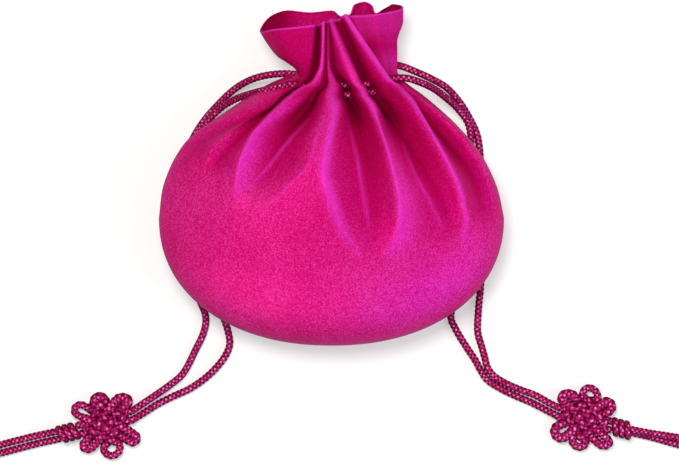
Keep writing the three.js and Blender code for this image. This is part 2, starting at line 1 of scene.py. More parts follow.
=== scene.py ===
import math
import bpy
import numpy as np
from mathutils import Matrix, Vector


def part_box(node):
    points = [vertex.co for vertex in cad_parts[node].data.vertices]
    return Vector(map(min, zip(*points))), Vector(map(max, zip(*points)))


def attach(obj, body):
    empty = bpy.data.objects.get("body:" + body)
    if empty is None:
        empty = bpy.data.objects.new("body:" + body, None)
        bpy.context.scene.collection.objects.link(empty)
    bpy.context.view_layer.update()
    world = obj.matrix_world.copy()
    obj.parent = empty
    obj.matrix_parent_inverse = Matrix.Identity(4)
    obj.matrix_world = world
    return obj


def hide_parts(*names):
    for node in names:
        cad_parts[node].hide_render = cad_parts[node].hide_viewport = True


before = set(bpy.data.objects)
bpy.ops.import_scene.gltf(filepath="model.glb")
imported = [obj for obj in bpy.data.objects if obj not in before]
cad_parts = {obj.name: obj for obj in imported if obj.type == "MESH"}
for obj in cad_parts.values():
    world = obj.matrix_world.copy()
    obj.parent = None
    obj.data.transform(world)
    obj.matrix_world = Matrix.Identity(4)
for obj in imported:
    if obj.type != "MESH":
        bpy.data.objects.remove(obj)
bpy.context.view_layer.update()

scene = bpy.context.scene
scene.view_settings.view_transform = "Standard"
mm = 0.001
bottomEdge = min(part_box(node)[0].y for node in ("front_panel", "back_panel"))


# Places are written in millimetres: across, along from the bag's bottom edge, and up from the table
def toFrame(points):
    return np.asarray(points, float) * mm + np.array([0.0, bottomEdge, 0.0])


def smoothstep(low, high, value):
    share = np.clip((np.asarray(value, float) - low) / (high - low), 0.0, 1.0)
    return share * share * (3.0 - 2.0 * share)


# A curve through a few points that never swings past them
def smoothLine(knots, at):
    x, y = np.array(sorted(knots), float).T
    steps = np.diff(x)
    slopes = np.diff(y) / steps
    ends = np.zeros_like(y)
    ends[0], ends[-1] = slopes[0], slopes[-1]
    same = slopes[:-1] * slopes[1:] > 0
    ends[1:-1][same] = 2 * slopes[:-1][same] * slopes[1:][same] / (slopes[:-1] + slopes[1:])[same]
    at = np.clip(np.asarray(at, float), x[0], x[-1])
    i = np.clip(np.searchsorted(x, at) - 1, 0, len(steps) - 1)
    t = (at - x[i]) / steps[i]
    return (y[i] * (1 + 2 * t) * (1 - t) ** 2 + steps[i] * ends[i] * t * (1 - t) ** 2
            + y[i + 1] * t * t * (3 - 2 * t) - steps[i] * ends[i + 1] * t * t * (1 - t))


# How far along a line each of its points lies
def walkedAlong(line):
    return np.concatenate([[0], np.cumsum(np.linalg.norm(np.diff(line, axis=0), axis=1))])


# Spans of the centripetal curve through points, from the second to the last but one, at shares of each span
def curveSpans(points, leastGap, shares):
    gaps = np.maximum(np.sqrt(np.linalg.norm(np.diff(points, axis=0), axis=1)), leastGap)
    spans = []
    for i, share in enumerate(shares):
        a, b, c, d = points[i:i + 4]
        g0, g1, g2 = gaps[i:i + 3]
        out = ((b - a) / g0 - (c - a) / (g0 + g1) + (c - b) / g1) * g1
        into = ((c - b) / g1 - (d - b) / (g1 + g2) + (d - c) / g2) * g1
        t = share[:, None]
        spans.append(b + out * t + (3 * (c - b) - 2 * out - into) * t ** 2
                     + (2 * (b - c) + out + into) * t ** 3)
    return spans


def makeObject(name, points, faces, material, uv=None, values=None):
    mesh = bpy.data.meshes.new(name)
    mesh.from_pydata(points.tolist(), [], faces)
    mesh.materials.append(material)
    mesh.shade_smooth()
    if uv is not None:
        corners = np.empty(len(mesh.loops), dtype=np.int32)
        mesh.loops.foreach_get("vertex_index", corners)
        mesh.uv_layers.new(name="clothMap").data.foreach_set("uv", uv[corners].ravel())
    for label, value in (values or {}).items():
        mesh.attributes.new(label, "FLOAT", "POINT").data.foreach_set("value", value)
    obj = bpy.data.objects.new(name, mesh)
    scene.collection.objects.link(obj)
    return obj


# Camera, straight above the pouch
photoView = {
    "middle": (3.2, 43.2, 10.0),  # what the picture's centre looks at
    "fieldWidth": 271.6,          # across the picture at that height
    "lens": 200.0,
    "sensor": 36.0,
}


def makeCamera(spec):
    data = bpy.data.cameras.new("photoCamera")
    data.lens = spec["lens"]
    data.sensor_width = spec["sensor"]
    data.clip_start, data.clip_end = 0.05, 20.0
    camera = bpy.data.objects.new("photoCamera", data)
    distance = spec["fieldWidth"] * mm * spec["lens"] / spec["sensor"]
    camera.location = Vector(toFrame(spec["middle"])) + Vector((0, 0, distance))
    scene.collection.objects.link(camera)
    scene.camera = camera


makeCamera(photoView)
print("camera set")


# Materials
def newMaterial(name):
    material = bpy.data.materials.new(name)
    material.use_nodes = True
    nodes = material.node_tree.nodes
    return material, nodes, material.node_tree.links, nodes["Principled BSDF"]


def addNode(nodes, kind, **settings):
    node = nodes.new(kind)
    for key, value in settings.items():
        if key in node.inputs:
            node.inputs[key].default_value = value
        else:
            setattr(node, key, value)
    return node


def makeRamp(nodes, stops):
    ramp = nodes.new("ShaderNodeValToRGB")
    band = ramp.color_ramp
    while len(band.elements) < len(stops):
        band.elements.new(0.5)
    for element, (place, colour) in zip(band.elements, stops):
        element.position = place
        element.color = (*colour, 1.0)
    return ramp


# Threads seen as flecks, used by the satin and by the braid
def makeFlecks():
    group = bpy.data.node_groups.new("threadFlecks", "ShaderNodeTree")
    group.interface.new_socket("Fineness", in_out="INPUT", socket_type="NodeSocketFloat")
    group.interface.new_socket("Fleck", in_out="OUTPUT", socket_type="NodeSocketFloat")
    nodes, links = group.nodes, group.links
    source, sink = nodes.new("NodeGroupInput"), nodes.new("NodeGroupOutput")
    place = nodes.new("ShaderNodeTexCoord")
    noise = addNode(nodes, "ShaderNodeTexNoise", Detail=1.0, Roughness=0.6)
    cells = nodes.new("ShaderNodeTexVoronoi")
    for texture in (noise, cells):
        links.new(place.outputs["Object"], texture.inputs["Vector"])
        links.new(source.outputs["Fineness"], texture.inputs["Scale"])
    mix = addNode(nodes, "ShaderNodeMix", data_type="FLOAT", Factor=0.3)
    links.new(noise.outputs["Fac"], mix.inputs["A"])
    links.new(cells.outputs["Color"], mix.inputs["B"])
    links.new(mix.outputs["Result"], sink.inputs["Fleck"])
    return group


threadFlecks = makeFlecks()


def addFlecks(nodes, fineness):
    node = nodes.new("ShaderNodeGroup")
    node.node_tree = threadFlecks
    node.inputs["Fineness"].default_value = fineness
    return node


def feed(links, sockets, values):
    for socket, value in zip(sockets, values):
        if isinstance(value, (float, tuple)):
            socket.default_value = value
        else:
            links.new(value, socket)


def addMath(nodes, links, operation, *values):
    node = addNode(nodes, "ShaderNodeMath", operation=operation)
    feed(links, node.inputs, values)
    return node.outputs[0]


def addMix(nodes, links, kind, *values):
    node = addNode(nodes, "ShaderNodeMix", data_type="RGBA", blend_type=kind)
    feed(links, (node.inputs[0], node.inputs[6], node.inputs[7]), values)
    return node.outputs[2]


# A point attribute that the meshes carry
def addValue(nodes, label):
    return addNode(nodes, "ShaderNodeAttribute", attribute_name=label).outputs["Fac"]


# Relief of the threads, and gloss
def finishCloth(nodes, links, shader, fleck, spec):
    bump = addNode(nodes, "ShaderNodeBump", Strength=spec["bump"], Distance=0.2 * mm)
    links.new(fleck, bump.inputs["Height"])
    links.new(bump.outputs["Normal"], shader.inputs["Normal"])
    shader.inputs["Metallic"].default_value = spec["metallic"]
    shader.inputs["IOR"].default_value = spec["gloss"]
    shader.inputs["Specular Tint"].default_value = spec["glossTint"]


satinLook = {
    "weave": [(0.4, (0.61, 0.002, 0.136)), (0.5, (0.74, 0.009, 0.205)), (0.6, (0.89, 0.042, 0.335))],
    # painted shade in the folds: multiplies the weave's colour, from none at 0 to deep crimson shade at 1
    "paintedFoldShade": [(0.0, (1.0, 1.0, 1.0)), (0.2, (0.88, 0.4, 0.8)), (0.45, (0.72, 0.08, 0.5)),
                (0.7, (0.54, 0.02, 0.27)), (0.88, (0.32, 0.01, 0.135)), (1.0, (0.11, 0.004, 0.038))],
    # painted highlight: the violet-pink mixed in where the crests shine
    "paintedCrestHighlight": (1.0, 0.050, 0.740, 1.0),
    "crestFill": 0.3,     # how much painted highlight the crests get between their flecks
    "fineness": 2200.0,   # of the weave's flecks, per metre
    "clouds": 28.0,       # the same for soft clouds
    "cloudShare": 0.25,   # of the weave's colour, the rest comes from the flecks
    "roughness": (0.34, 0.46),
    "dullFolds": 0.25,
    "smoothFolds": 0.6,   # how much of the flecks is lost in the folds
    "bump": 0.22,
    "metallic": 0.35,
    "glossTint": (0.7, 0.06, 0.9, 1.0),
    "gloss": 1.4,
}


def makeSatin(spec):
    material, nodes, links, shader = newMaterial("magentaSatin")
    place = nodes.new("ShaderNodeTexCoord")
    fleck = addFlecks(nodes, spec["fineness"]).outputs["Fleck"]
    cloud = addNode(nodes, "ShaderNodeTexNoise", Scale=spec["clouds"], Detail=3.0, Roughness=0.55)
    links.new(place.outputs["Object"], cloud.inputs["Vector"])
    clouds = addMath(nodes, links, "MULTIPLY", cloud.outputs["Fac"], spec["cloudShare"])
    weave = addMath(nodes, links, "MULTIPLY_ADD", fleck, 1 - spec["cloudShare"], clouds)
    shade, crestShine = addValue(nodes, "shade"), addValue(nodes, "crestShine")
    smooth = addMath(nodes, links, "MULTIPLY", shade, spec["smoothFolds"])
    weave = addMix(nodes, links, "MIX", smooth, weave, (0.5, 0.5, 0.5, 1.0))
    colours, folds = makeRamp(nodes, spec["weave"]), makeRamp(nodes, spec["paintedFoldShade"])
    links.new(weave, colours.inputs["Fac"])
    # painted shade: the shade attribute darkens the weave's colour in the folds
    links.new(shade, folds.inputs["Fac"])
    foldShadedColour = addMix(nodes, links, "MULTIPLY", 1.0, colours.outputs["Color"], folds.outputs["Color"])
    # painted highlight on the crests and creases, broken up by the flecks
    filled = addMath(nodes, links, "ADD", fleck, spec["crestFill"])
    paintedGlint = addMath(nodes, links, "MULTIPLY", crestShine, filled)
    creased = addMix(nodes, links, "MIX", paintedGlint, foldShadedColour, spec["paintedCrestHighlight"])
    links.new(creased, shader.inputs["Base Color"])
    rough = addNode(nodes, "ShaderNodeMapRange")
    rough.inputs["To Min"].default_value, rough.inputs["To Max"].default_value = spec["roughness"]
    links.new(fleck, rough.inputs["Value"])
    dull = addMath(nodes, links, "MULTIPLY_ADD", shade, spec["dullFolds"], rough.outputs["Result"])
    links.new(dull, shader.inputs["Roughness"])
    finishCloth(nodes, links, shader, fleck, spec)
    return material


braidLook = {
    # painted shade in the crevices, the cord's own colour on the flanks and crowns, and painted glints on top
    "heights": [(0.2, (0.030, 0.0, 0.006)), (0.55, (0.17, 0.001, 0.036)), (0.81, (0.52, 0.014, 0.155)),
                (0.98, (1.0, 0.320, 0.700))],
    "threads": 0.95,      # what the flecks add to the braid's height
    "spread": 0.69,       # of both over those colours
    "fineness": 1100.0,
    "roughness": 0.3,
    "bump": 0.35,
    "metallic": 0.2,
    "glossTint": (1.0, 0.25, 0.65, 1.0),
    "gloss": 1.3,
}


def makeBraid(spec):
    material, nodes, links, shader = newMaterial("magentaBraid")
    fleck = addFlecks(nodes, spec["fineness"]).outputs["Fleck"]
    # the plait value and the ramp paint shade in the crevices and underneath, and glints on the crowns
    threads = addMath(nodes, links, "MULTIPLY_ADD", fleck, spec["threads"], addValue(nodes, "plait"))
    height = addMath(nodes, links, "MULTIPLY", threads, spec["spread"])
    colours = makeRamp(nodes, spec["heights"])
    links.new(height, colours.inputs["Fac"])
    links.new(colours.outputs["Color"], shader.inputs["Base Color"])
    shader.inputs["Roughness"].default_value = spec["roughness"]
    finishCloth(nodes, links, shader, fleck, spec)
    return material


satin = makeSatin(satinLook)
braid = makeBraid(braidLook)
print("materials ready")


# Cords
cordSpec = {
    "diameter": 3.0,
    "offTable": 0.1,
    "plaitsAround": 4,
    "plaitLength": 1.8,
    "plaitFall": 0.45,  # how much a plait sinks towards its ends
    "relief": 0.4,
    "evenAt": 0.9,      # height of the braid at which the cord has its diameter
    # painted light and shade on the cord: its top is lit, its sides and underside shaded
    "topLit": 0.9,
    "undersideShade": 0.72,
    "endTone": 0.4,
    "sides": 24,
    "step": 0.3,
    "samples": 60,      # taken on each span before the even steps
    "told": 4,          # steps between the places that a cord's row tells
}
onTable = cordSpec["diameter"] / 2 + cordSpec["offTable"]  # height of a cord's middle


# Evenly spaced points on the curve through a route, and how far along it they lie
def followRoute(route, closed=False):
    p = np.asarray(route, float)
    if closed:
        p = np.vstack([p[-1], p, p[0], p[1]])
    else:
        p = np.vstack([2 * p[0] - p[1], p, 2 * p[-1] - p[-2]])
    share = np.linspace(0, 1, cordSpec["samples"], endpoint=False)
    line = np.vstack(curveSpans(p, 1e-4, [share] * (len(p) - 3)) + [p[-2:-1]])
    walked = walkedAlong(line)
    count = max(4, int(round(walked[-1] / cordSpec["step"])))
    places = np.linspace(0, walked[-1], count + 1)
    return np.column_stack([np.interp(places, walked, values) for values in line.T]), places


# Side and up directions carried along a path without twist
def carryFrames(path, closed):
    ahead = np.gradient(path, axis=0)
    if closed:
        ahead[0] = ahead[-1] = path[1] - path[-2]
    ahead /= np.linalg.norm(ahead, axis=1)[:, None]
    side = np.zeros_like(ahead)
    steep = abs(ahead[0][2]) > 0.9
    first = np.cross(ahead[0], [1.0, 0.0, 0.0] if steep else [0.0, 0.0, 1.0])
    side[0] = first / np.linalg.norm(first)
    for i in range(1, len(path)):
        turned = side[i - 1] - ahead[i] * np.dot(side[i - 1], ahead[i])
        side[i] = turned / np.linalg.norm(turned)
    up = np.cross(side, ahead)
    if closed:
        twist = math.atan2(np.dot(side[-1], up[0]), np.dot(side[-1], side[0]))
        turn = -twist * np.linspace(0, 1, len(path))[:, None]
        side, up = side * np.cos(turn) + up * np.sin(turn), up * np.cos(turn) - side * np.sin(turn)
    return side, up


# Height of a round braid, 0 in the crevices and 1 on the crowns of the plaits
def plaitHeight(around, along):
    a = around + along
    b = around - along
    over = (np.floor(a) + np.floor(b)) % 2 < 0.5
    across = np.where(over, a % 1.0, b % 1.0) * 2 - 1
    lengthwise = np.where(over, b % 1.0, a % 1.0) * 2 - 1
    return np.sqrt(np.clip(1 - across ** 2, 0, 1)) * (1 - cordSpec["plaitFall"] * lengthwise ** 2)


# Rings of a braided cord along a path, in millimetres, with the braid's height at each point, which is
# lowered where the surface turns under, as painted shade that darkens the cord's sides and underside
def braidRings(path, places, diameter, closed=False, wide=1.0):
    sides = cordSpec["sides"]
    side, up = carryFrames(path, closed)
    turn = np.linspace(0, 2 * np.pi, sides, endpoint=False)
    pitch = cordSpec["plaitLength"]
    if closed:
        pitch = places[-1] / max(1, round(places[-1] / pitch))
    around = turn[None, :] / (2 * np.pi) * cordSpec["plaitsAround"]
    height = plaitHeight(around, places[:, None] / pitch)
    relief = cordSpec["relief"] * diameter / cordSpec["diameter"]
    radius = diameter / 2 - relief * (cordSpec["evenAt"] - height)
    rise = np.cos(turn) * side[:, 2:] + np.sin(turn) * up[:, 2:]
    paintedLightFromAbove = cordSpec["topLit"] - cordSpec["undersideShade"] * (1 - np.clip(rise, 0, 1))
    side = side * np.broadcast_to(wide, len(path))[:, None]
    rings = (path[:, None, :] + radius[..., None] * (np.cos(turn)[None, :, None] * side[:, None, :]
             + np.sin(turn)[None, :, None] * up[:, None, :]))
    return rings, height * paintedLightFromAbove


# Points, faces and braid heights of one cord, with its ends shut unless it closes on itself
def tubeSkin(rings, height, closed=False):
    count, sides = rings.shape[:2]
    rows = count - 1 if closed else count
    points = rings[:rows].reshape(-1, 3)
    plait = height[:rows].reshape(-1)
    faces = []
    for row in range(rows if closed else rows - 1):
        low, high = row * sides, (row + 1) % rows * sides
        for k in range(sides):
            n = (k + 1) % sides
            faces.append((low + k, high + k, high + n, low + n))
    if not closed:
        ends = np.array([rings[0].mean(axis=0), rings[-1].mean(axis=0)])
        first, last = len(points), len(points) + 1
        points = np.vstack([points, ends])
        plait = np.concatenate([plait, [cordSpec["endTone"]] * 2])
        top = (rows - 1) * sides
        for k in range(sides):
            n = (k + 1) % sides
            faces.append((first, k, n))
            faces.append((last, top + n, top + k))
    return points, faces, plait


# Skin of one cord; a fourth value of its route says how much it is widened there
def cordSkin(route, diameter, closed=False):
    path, places = followRoute(route, closed)
    wide = path[:, 3] if path.shape[1] > 3 else 1.0
    return tubeSkin(*braidRings(path[:, :3], places, diameter, closed, wide), closed)


# A piece made of cords, in place of its solid
def makeCord(node, skins):
    faces, start = [], 0
    for points, quads, _ in skins:
        faces += [tuple(start + i for i in face) for face in quads]
        start += len(points)
    points = np.vstack([points for points, _, _ in skins])
    plait = np.concatenate([plait for _, _, plait in skins])
    obj = makeObject(node + "_cord", toFrame(points), faces, braid, values={"plait": plait})
    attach(obj, "root")
    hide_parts(node)
    return obj


# Loop round the neck: an upright oval, from one side of a gap to the other
neckLoop = {
    "middle": (6.5, 106.8, 19.0),
    "half": 16.4,
    "rise": 4.8,
    "tilt": 5.4,
    "gap": 40,
    "turnStep": 20,
    "held": 15.0,  # how far the loop reaches out of the pleats
}


def loopRoute(side, lift):
    x, y, z = neckLoop["middle"]
    route = []
    for angle in range(neckLoop["gap"], 361 - neckLoop["gap"], neckLoop["turnStep"]):
        turn = math.radians(angle if side > 0 else 180 - angle)
        route.append((x + neckLoop["half"] * math.cos(turn),
                      y - neckLoop["tilt"] * math.sin(turn) + lift,
                      z + neckLoop["rise"] * math.sin(turn)))
    return route


# Strand routes from the neck to the knots, as the solids have them; a place without a height is on the table
drawstrings = {
    "left": {
        "side": -1,
        "lift": -1.9,
        "lower": [
            (-15.5, 103.6, 25.4), (-21, 102.6, 24.6), (-27, 101.4, 21.5), (-33, 100, 16.5), (-39, 98, 11),
            (-45, 94.4, 6.4), (-50.2, 88.6, 4.8), (-52, 80, 3), (-54.4, 68), (-56, 52), (-55, 36),
            (-50.5, 22), (-44, 12), (-41.6, 5), (-41, 0), (-43, -5), (-49, -12), (-57, -17.8), (-64, -21),
            (-70.6, -24.4, 1.7), (-75.6, -27.6, 2.1), (-79.5, -30, 2.5),
        ],
        "upper": [
            (-12, 108, 13.4), (-19, 108.4, 13), (-27, 107.6, 11.4), (-33, 105.8, 9), (-39, 102.4, 6),
            (-46, 96, 3), (-52, 89), (-57, 80), (-60, 66), (-61, 50), (-59, 34), (-54, 20), (-50.6, 11),
            (-51.4, 5), (-54.6, -2), (-60, -12), (-65.4, -16.6, 1.9), (-69.6, -19.6, 2.7),
            (-75, -23.2, 3.3), (-80.4, -26.9, 2.5),
        ],
        "knot": (-91.0, -31.4),
        "turn": 195,
        # reach, half width and rise of each ear, how much its cord is flattened and how far it is turned
        "ears": {
            "left": (5.2, 3.3, 0.0, 1.0, 0), "right": (2.4, 2.4, 0.6, 1.35, 0),
            "leftAhead": (5.9, 1.8, 0.0, 1.15, -16), "rightAhead": (6.2, 2.3, 0.0, 1.0, 6),
            "leftBehind": (7.1, 1.7, 0.0, 1.15, 0), "rightBehind": (5.8, 2.0, 1.0, 1.4, -24),
        },
        "stacked": 15,
        "tails": [(-119.8, -38.6), (-133, -42), (-152, -46.6)],
    },
    "right": {
        "side": 1,
        "lift": 1.9,
        "lower": [
            (29, 106.2, 24.6), (34, 105, 22.6), (40, 102.6, 18), (46, 98.6, 12), (51, 94.2, 7.4),
            (55, 88.4, 5), (56, 80, 4), (55.6, 66), (56, 52), (55, 36), (51.6, 24), (48, 11), (50, 6),
            (54.6, -1.6), (57.8, -6.4), (60.2, -10.8), (62.6, -14.2), (68.6, -18.1), (74.7, -21),
            (80.8, -23.6, 1.7), (86.8, -26.7, 2.1), (90.2, -28.4, 2.5),
        ],
        "upper": [
            (27, 111.6, 13.4), (33.6, 109.2, 13), (40, 106.4, 11), (46, 103, 8.4), (51.6, 97, 5),
            (56, 90), (58.6, 84), (60.2, 70), (61, 54), (60.6, 38), (60, 24), (59, 13), (58.8, 5),
            (60.4, -1, 1.9), (61.5, -5, 2.6), (62.6, -9.2, 3.5), (65, -12.4, 3.5), (70.2, -15.7, 3.5),
            (76, -18.2, 3.5), (82.1, -20.5, 3.4), (88, -23.8, 3), (91, -25.2, 2.5),
        ],
        "knot": (101.6, -29.8),
        "turn": -15,
        "ears": {
            "left": (4.2, 3.1, 0.0, 1.0, 8), "right": (3.2, 2.8, 0.0, 1.25, 8),
            "leftAhead": (4.8, 2.0, 0.6, 1.35, 0), "rightAhead": (6.8, 2.0, 0.0, 1.15, 22),
            "leftBehind": (5.4, 2.2, 0.8, 1.4, 22), "rightBehind": (6.0, 2.6, 0.0, 1.3, 0),
        },
        "stacked": 65,
        "tails": [(131, -37), (145, -40), (160, -42.6)],
    },
}


# One drawstring, from the knot up its lower strand, round the neck and down its upper strand
def makeDrawstring(label, spec):
    lower, upper = [[place if len(place) == 3 else (*place, onTable) for place in spec[part]]
                    for part in ("lower", "upper")]
    loop = loopRoute(spec["side"], spec["lift"])
    path, places = followRoute(lower[::-1] + loop + upper)
    rings, height = braidRings(path, places, cordSpec["diameter"])
    start, end = [int(np.linalg.norm(path - np.array(place), axis=1).argmin())
                  for place in (loop[0], loop[-1])]
    held = int(round(neckLoop["held"] / cordSpec["step"]))
    first, last = start - held, end + held
    cuts = {"lower_strand": slice(0, first + 1), "drawstring_loop": slice(first, last + 1),
            "upper_strand": slice(last, len(path))}
    return {part: (makeCord(f"{label}_{part}", [tubeSkin(rings[cut], height[cut])]), path[cut])
            for part, cut in cuts.items()}


# Flower knot: four cords cross four others on the diagonals, and three ears stand out on each side
flowerKnot = {
    "pitch": 3.4,
    "diameter": 3.1,
    "weave": 1.06,
    "lead": 4.2,
    "overlap": 0.8,   # of the leads with the strands and the wraps
    "leadSpread": 1.65,
    "stretch": 1.12,  # along the cords
    "wide": 1.28,     # how much the woven cords are flattened
    "leadWide": 1.1,  # the same for the leads at the knot
    "wrapGap": 0.5,   # between its lead and the connection knot
    "earTurns": (-100, -66, -33, 0, 33, 66, 100),
}


def flowerKnotSkins(spec, ears):
    pitch, level = spec["pitch"], spec["diameter"]
    diagonal = math.sqrt(0.5)
    half = 2 * pitch

    def onCord(family, line, along):
        sign = 1 if line % 2 == 0 else -1
        wave = sign * spec["weave"] * math.sin(math.pi * along / pitch)
        offset = (line - 1.5) * pitch
        across = along - offset if family == 1 else offset - along
        return np.array([spec["stretch"] * diagonal * (along + offset), diagonal * across,
                         level + (wave if family == 1 else -wave)])

    def run(family, line, forward):
        crossings = [onCord(family, line, stop * pitch) for stop in (-1.5, -0.5, 0.5, 1.5)]
        stops = [np.append(place, spec["wide"]) for place in crossings]
        return stops if forward else stops[::-1]

    # Out to a round end and back, rising on the way out
    def ear(start, end, name):
        reach, spread, lift, wide, aim = ears[name]
        middle = (start + end) / 2
        middle[2] = level
        across = (end - start) * np.array([1, 1, 0])
        across /= np.linalg.norm(across)
        out = np.array([-across[1], across[0], 0])
        if out @ middle < 0:
            out = -out
        cos, sin = math.cos(math.radians(aim)), math.sin(math.radians(aim))
        out = np.array([cos * out[0] - sin * out[1], sin * out[0] + cos * out[1], 0])
        points = []
        for turn in np.radians(spec["earTurns"]):
            ahead = reach - spread + spread * math.cos(turn)
            rise = np.array([0, 0, lift * ahead / reach])
            points.append(np.append(middle + across * spread * math.sin(turn) + out * ahead + rise, wide))
        return points

    def end(family, line, sign):
        return onCord(family, line, sign * 2.0 * pitch)

    def lead(direction, side):
        y = side * spec["leadSpread"]
        return [np.array([direction * (half + spec["lead"] + spec["overlap"]), y, level, 1.0]),
                np.array([direction * (half + 2), y, level, spec["leadWide"]])]

    through = [
        lead(-1, -1) + run(1, 0, True) + ear(end(1, 0, 1), end(2, 3, -1), "left") + run(2, 3, True)
        + lead(1, -1)[::-1],
        lead(-1, 1) + run(2, 0, True) + ear(end(2, 0, 1), end(1, 3, -1), "right") + run(1, 3, True)
        + lead(1, 1)[::-1],
    ]
    loops = [run(family, 1, True) + ear(end(family, 1, 1), end(family, 2, 1), ahead)
             + run(family, 2, False) + ear(end(family, 2, -1), end(family, 1, -1), behind)
             for family, ahead, behind in ((1, "leftAhead", "rightBehind"), (2, "rightAhead", "leftBehind"))]
    return [cordSkin(route, spec["diameter"], closed)
            for routes, closed in ((through, False), (loops, True)) for route in routes]


# Wraps of cord round a pair of cords, along its own X from 0
wrapKnots = {
    "connection": {"length": 7.6, "radius": 2.6, "wraps": 3, "lean": 24, "cord": 2.7},
    "end": {"length": 9.0, "radius": 2.5, "wraps": 3, "lean": 20, "cord": 2.8,
            # one of the two cords inside it: along, across and up
            "core": [(-1.0, 1.6, 1.6), (4.5, 1.2, 3.0), (12.5, 2.1, 1.7), (16.0, 3.0, 1.6)]},
    "flatter": 0.8,  # share of the lean that is left in the rings
    "places": 12,    # on the route of each ring
}


def wrapKnotSkins(spec):
    height = spec["radius"] + spec["cord"] / 2
    room = spec["length"] - spec["cord"]
    lean = -math.tan(math.radians(spec["lean"]))
    skins = []
    for k in range(spec["wraps"]):
        x = spec["cord"] / 2 + room * k / (spec["wraps"] - 1)
        ring = []
        for turn in np.linspace(0, 2 * math.pi, wrapKnots["places"], endpoint=False):
            y, z = spec["radius"] * math.cos(turn), spec["radius"] * math.sin(turn)
            ring.append((x + lean * y * wrapKnots["flatter"], y, height + z))
        skins.append(cordSkin(ring, spec["cord"], True))
    return skins


# Turns skins made in a knot's own frame, from the pouch side at -X to the tails at +X
def turnSkins(skins, middle, degrees):
    turn = math.radians(degrees)
    spin = np.array([[math.cos(turn), -math.sin(turn), 0], [math.sin(turn), math.cos(turn), 0], [0, 0, 1]])
    shift = np.array([middle[0], middle[1], 0.0])
    return [(points @ spin.T + shift, faces, plait) for points, faces, plait in skins]


# The two tails beyond the connection knot lie side by side, or partly on each other at first
tailPair = {
    "gap": 0.3,
    "overlap": 0.3,          # with the connection knot
    "stacked": (4.0, 34.0),  # from where to where they come down beside each other
    "knotGap": 0.5,
}


def makeKnots(label, spec):
    skins = turnSkins(flowerKnotSkins(flowerKnot, spec["ears"]), spec["knot"], spec["turn"])
    flower = makeCord(f"{label}_flower_knot", skins)
    wrap = wrapKnots["connection"]
    begin = 2 * flowerKnot["pitch"] + flowerKnot["lead"] + flowerKnot["wrapGap"]
    turn = math.radians(spec["turn"])
    ahead = np.array([math.cos(turn), math.sin(turn)])
    skins = turnSkins(wrapKnotSkins(wrap), np.array(spec["knot"]) + ahead * begin, spec["turn"])
    connection = makeCord(f"{label}_connection_knot", skins)
    tailStart = np.array(spec["knot"]) + ahead * (begin + wrap["length"] - tailPair["overlap"])
    return flower, connection, tailStart


# Both tails of a side, and the knot that ends them
def makeTails(label, spec, tailStart):
    route = [tuple(tailStart)] + spec["tails"]
    middle, places = followRoute([(x, y, 0.0) for x, y in route])
    ahead = np.gradient(middle, axis=0)
    ahead /= np.linalg.norm(ahead, axis=1)[:, None]
    across = np.column_stack([-ahead[:, 1], ahead[:, 0], 0 * ahead[:, 0]]) * np.sign(ahead[:, :1])
    tails = {}
    apart = cordSpec["diameter"] + tailPair["gap"]
    tilt = math.radians(spec["stacked"]) * (1 - smoothstep(*tailPair["stacked"], places))
    for part, side in (("upper", 1), ("lower", -1)):
        path = middle + across * (side * apart / 2 * np.cos(tilt))[:, None]
        path[:, 2] = onTable + (apart * np.sin(tilt) if side > 0 else 0)
        skin = tubeSkin(*braidRings(path, places, cordSpec["diameter"]))
        tails[part] = (makeCord(f"{label}_{part}_tail", [skin]), path)
    wrap = wrapKnots["end"]
    skins = wrapKnotSkins(wrap)
    for side in (-1, 1):
        skins.append(cordSkin([(x, side * y, z) for x, y, z in wrap["core"]], cordSpec["diameter"]))
    heading = math.degrees(math.atan2(ahead[-1, 1], ahead[-1, 0]))
    skins = turnSkins(skins, middle[-1, :2] + ahead[-1, :2] * tailPair["knotGap"], heading)
    return tails, makeCord(f"{label}_end_knot", skins)


for label, spec in drawstrings.items():
    made = makeDrawstring(label, spec)
    flower, connection, tailStart = makeKnots(label, spec)
    tails, endKnot = makeTails(label, spec, tailStart)
print("cords laid")


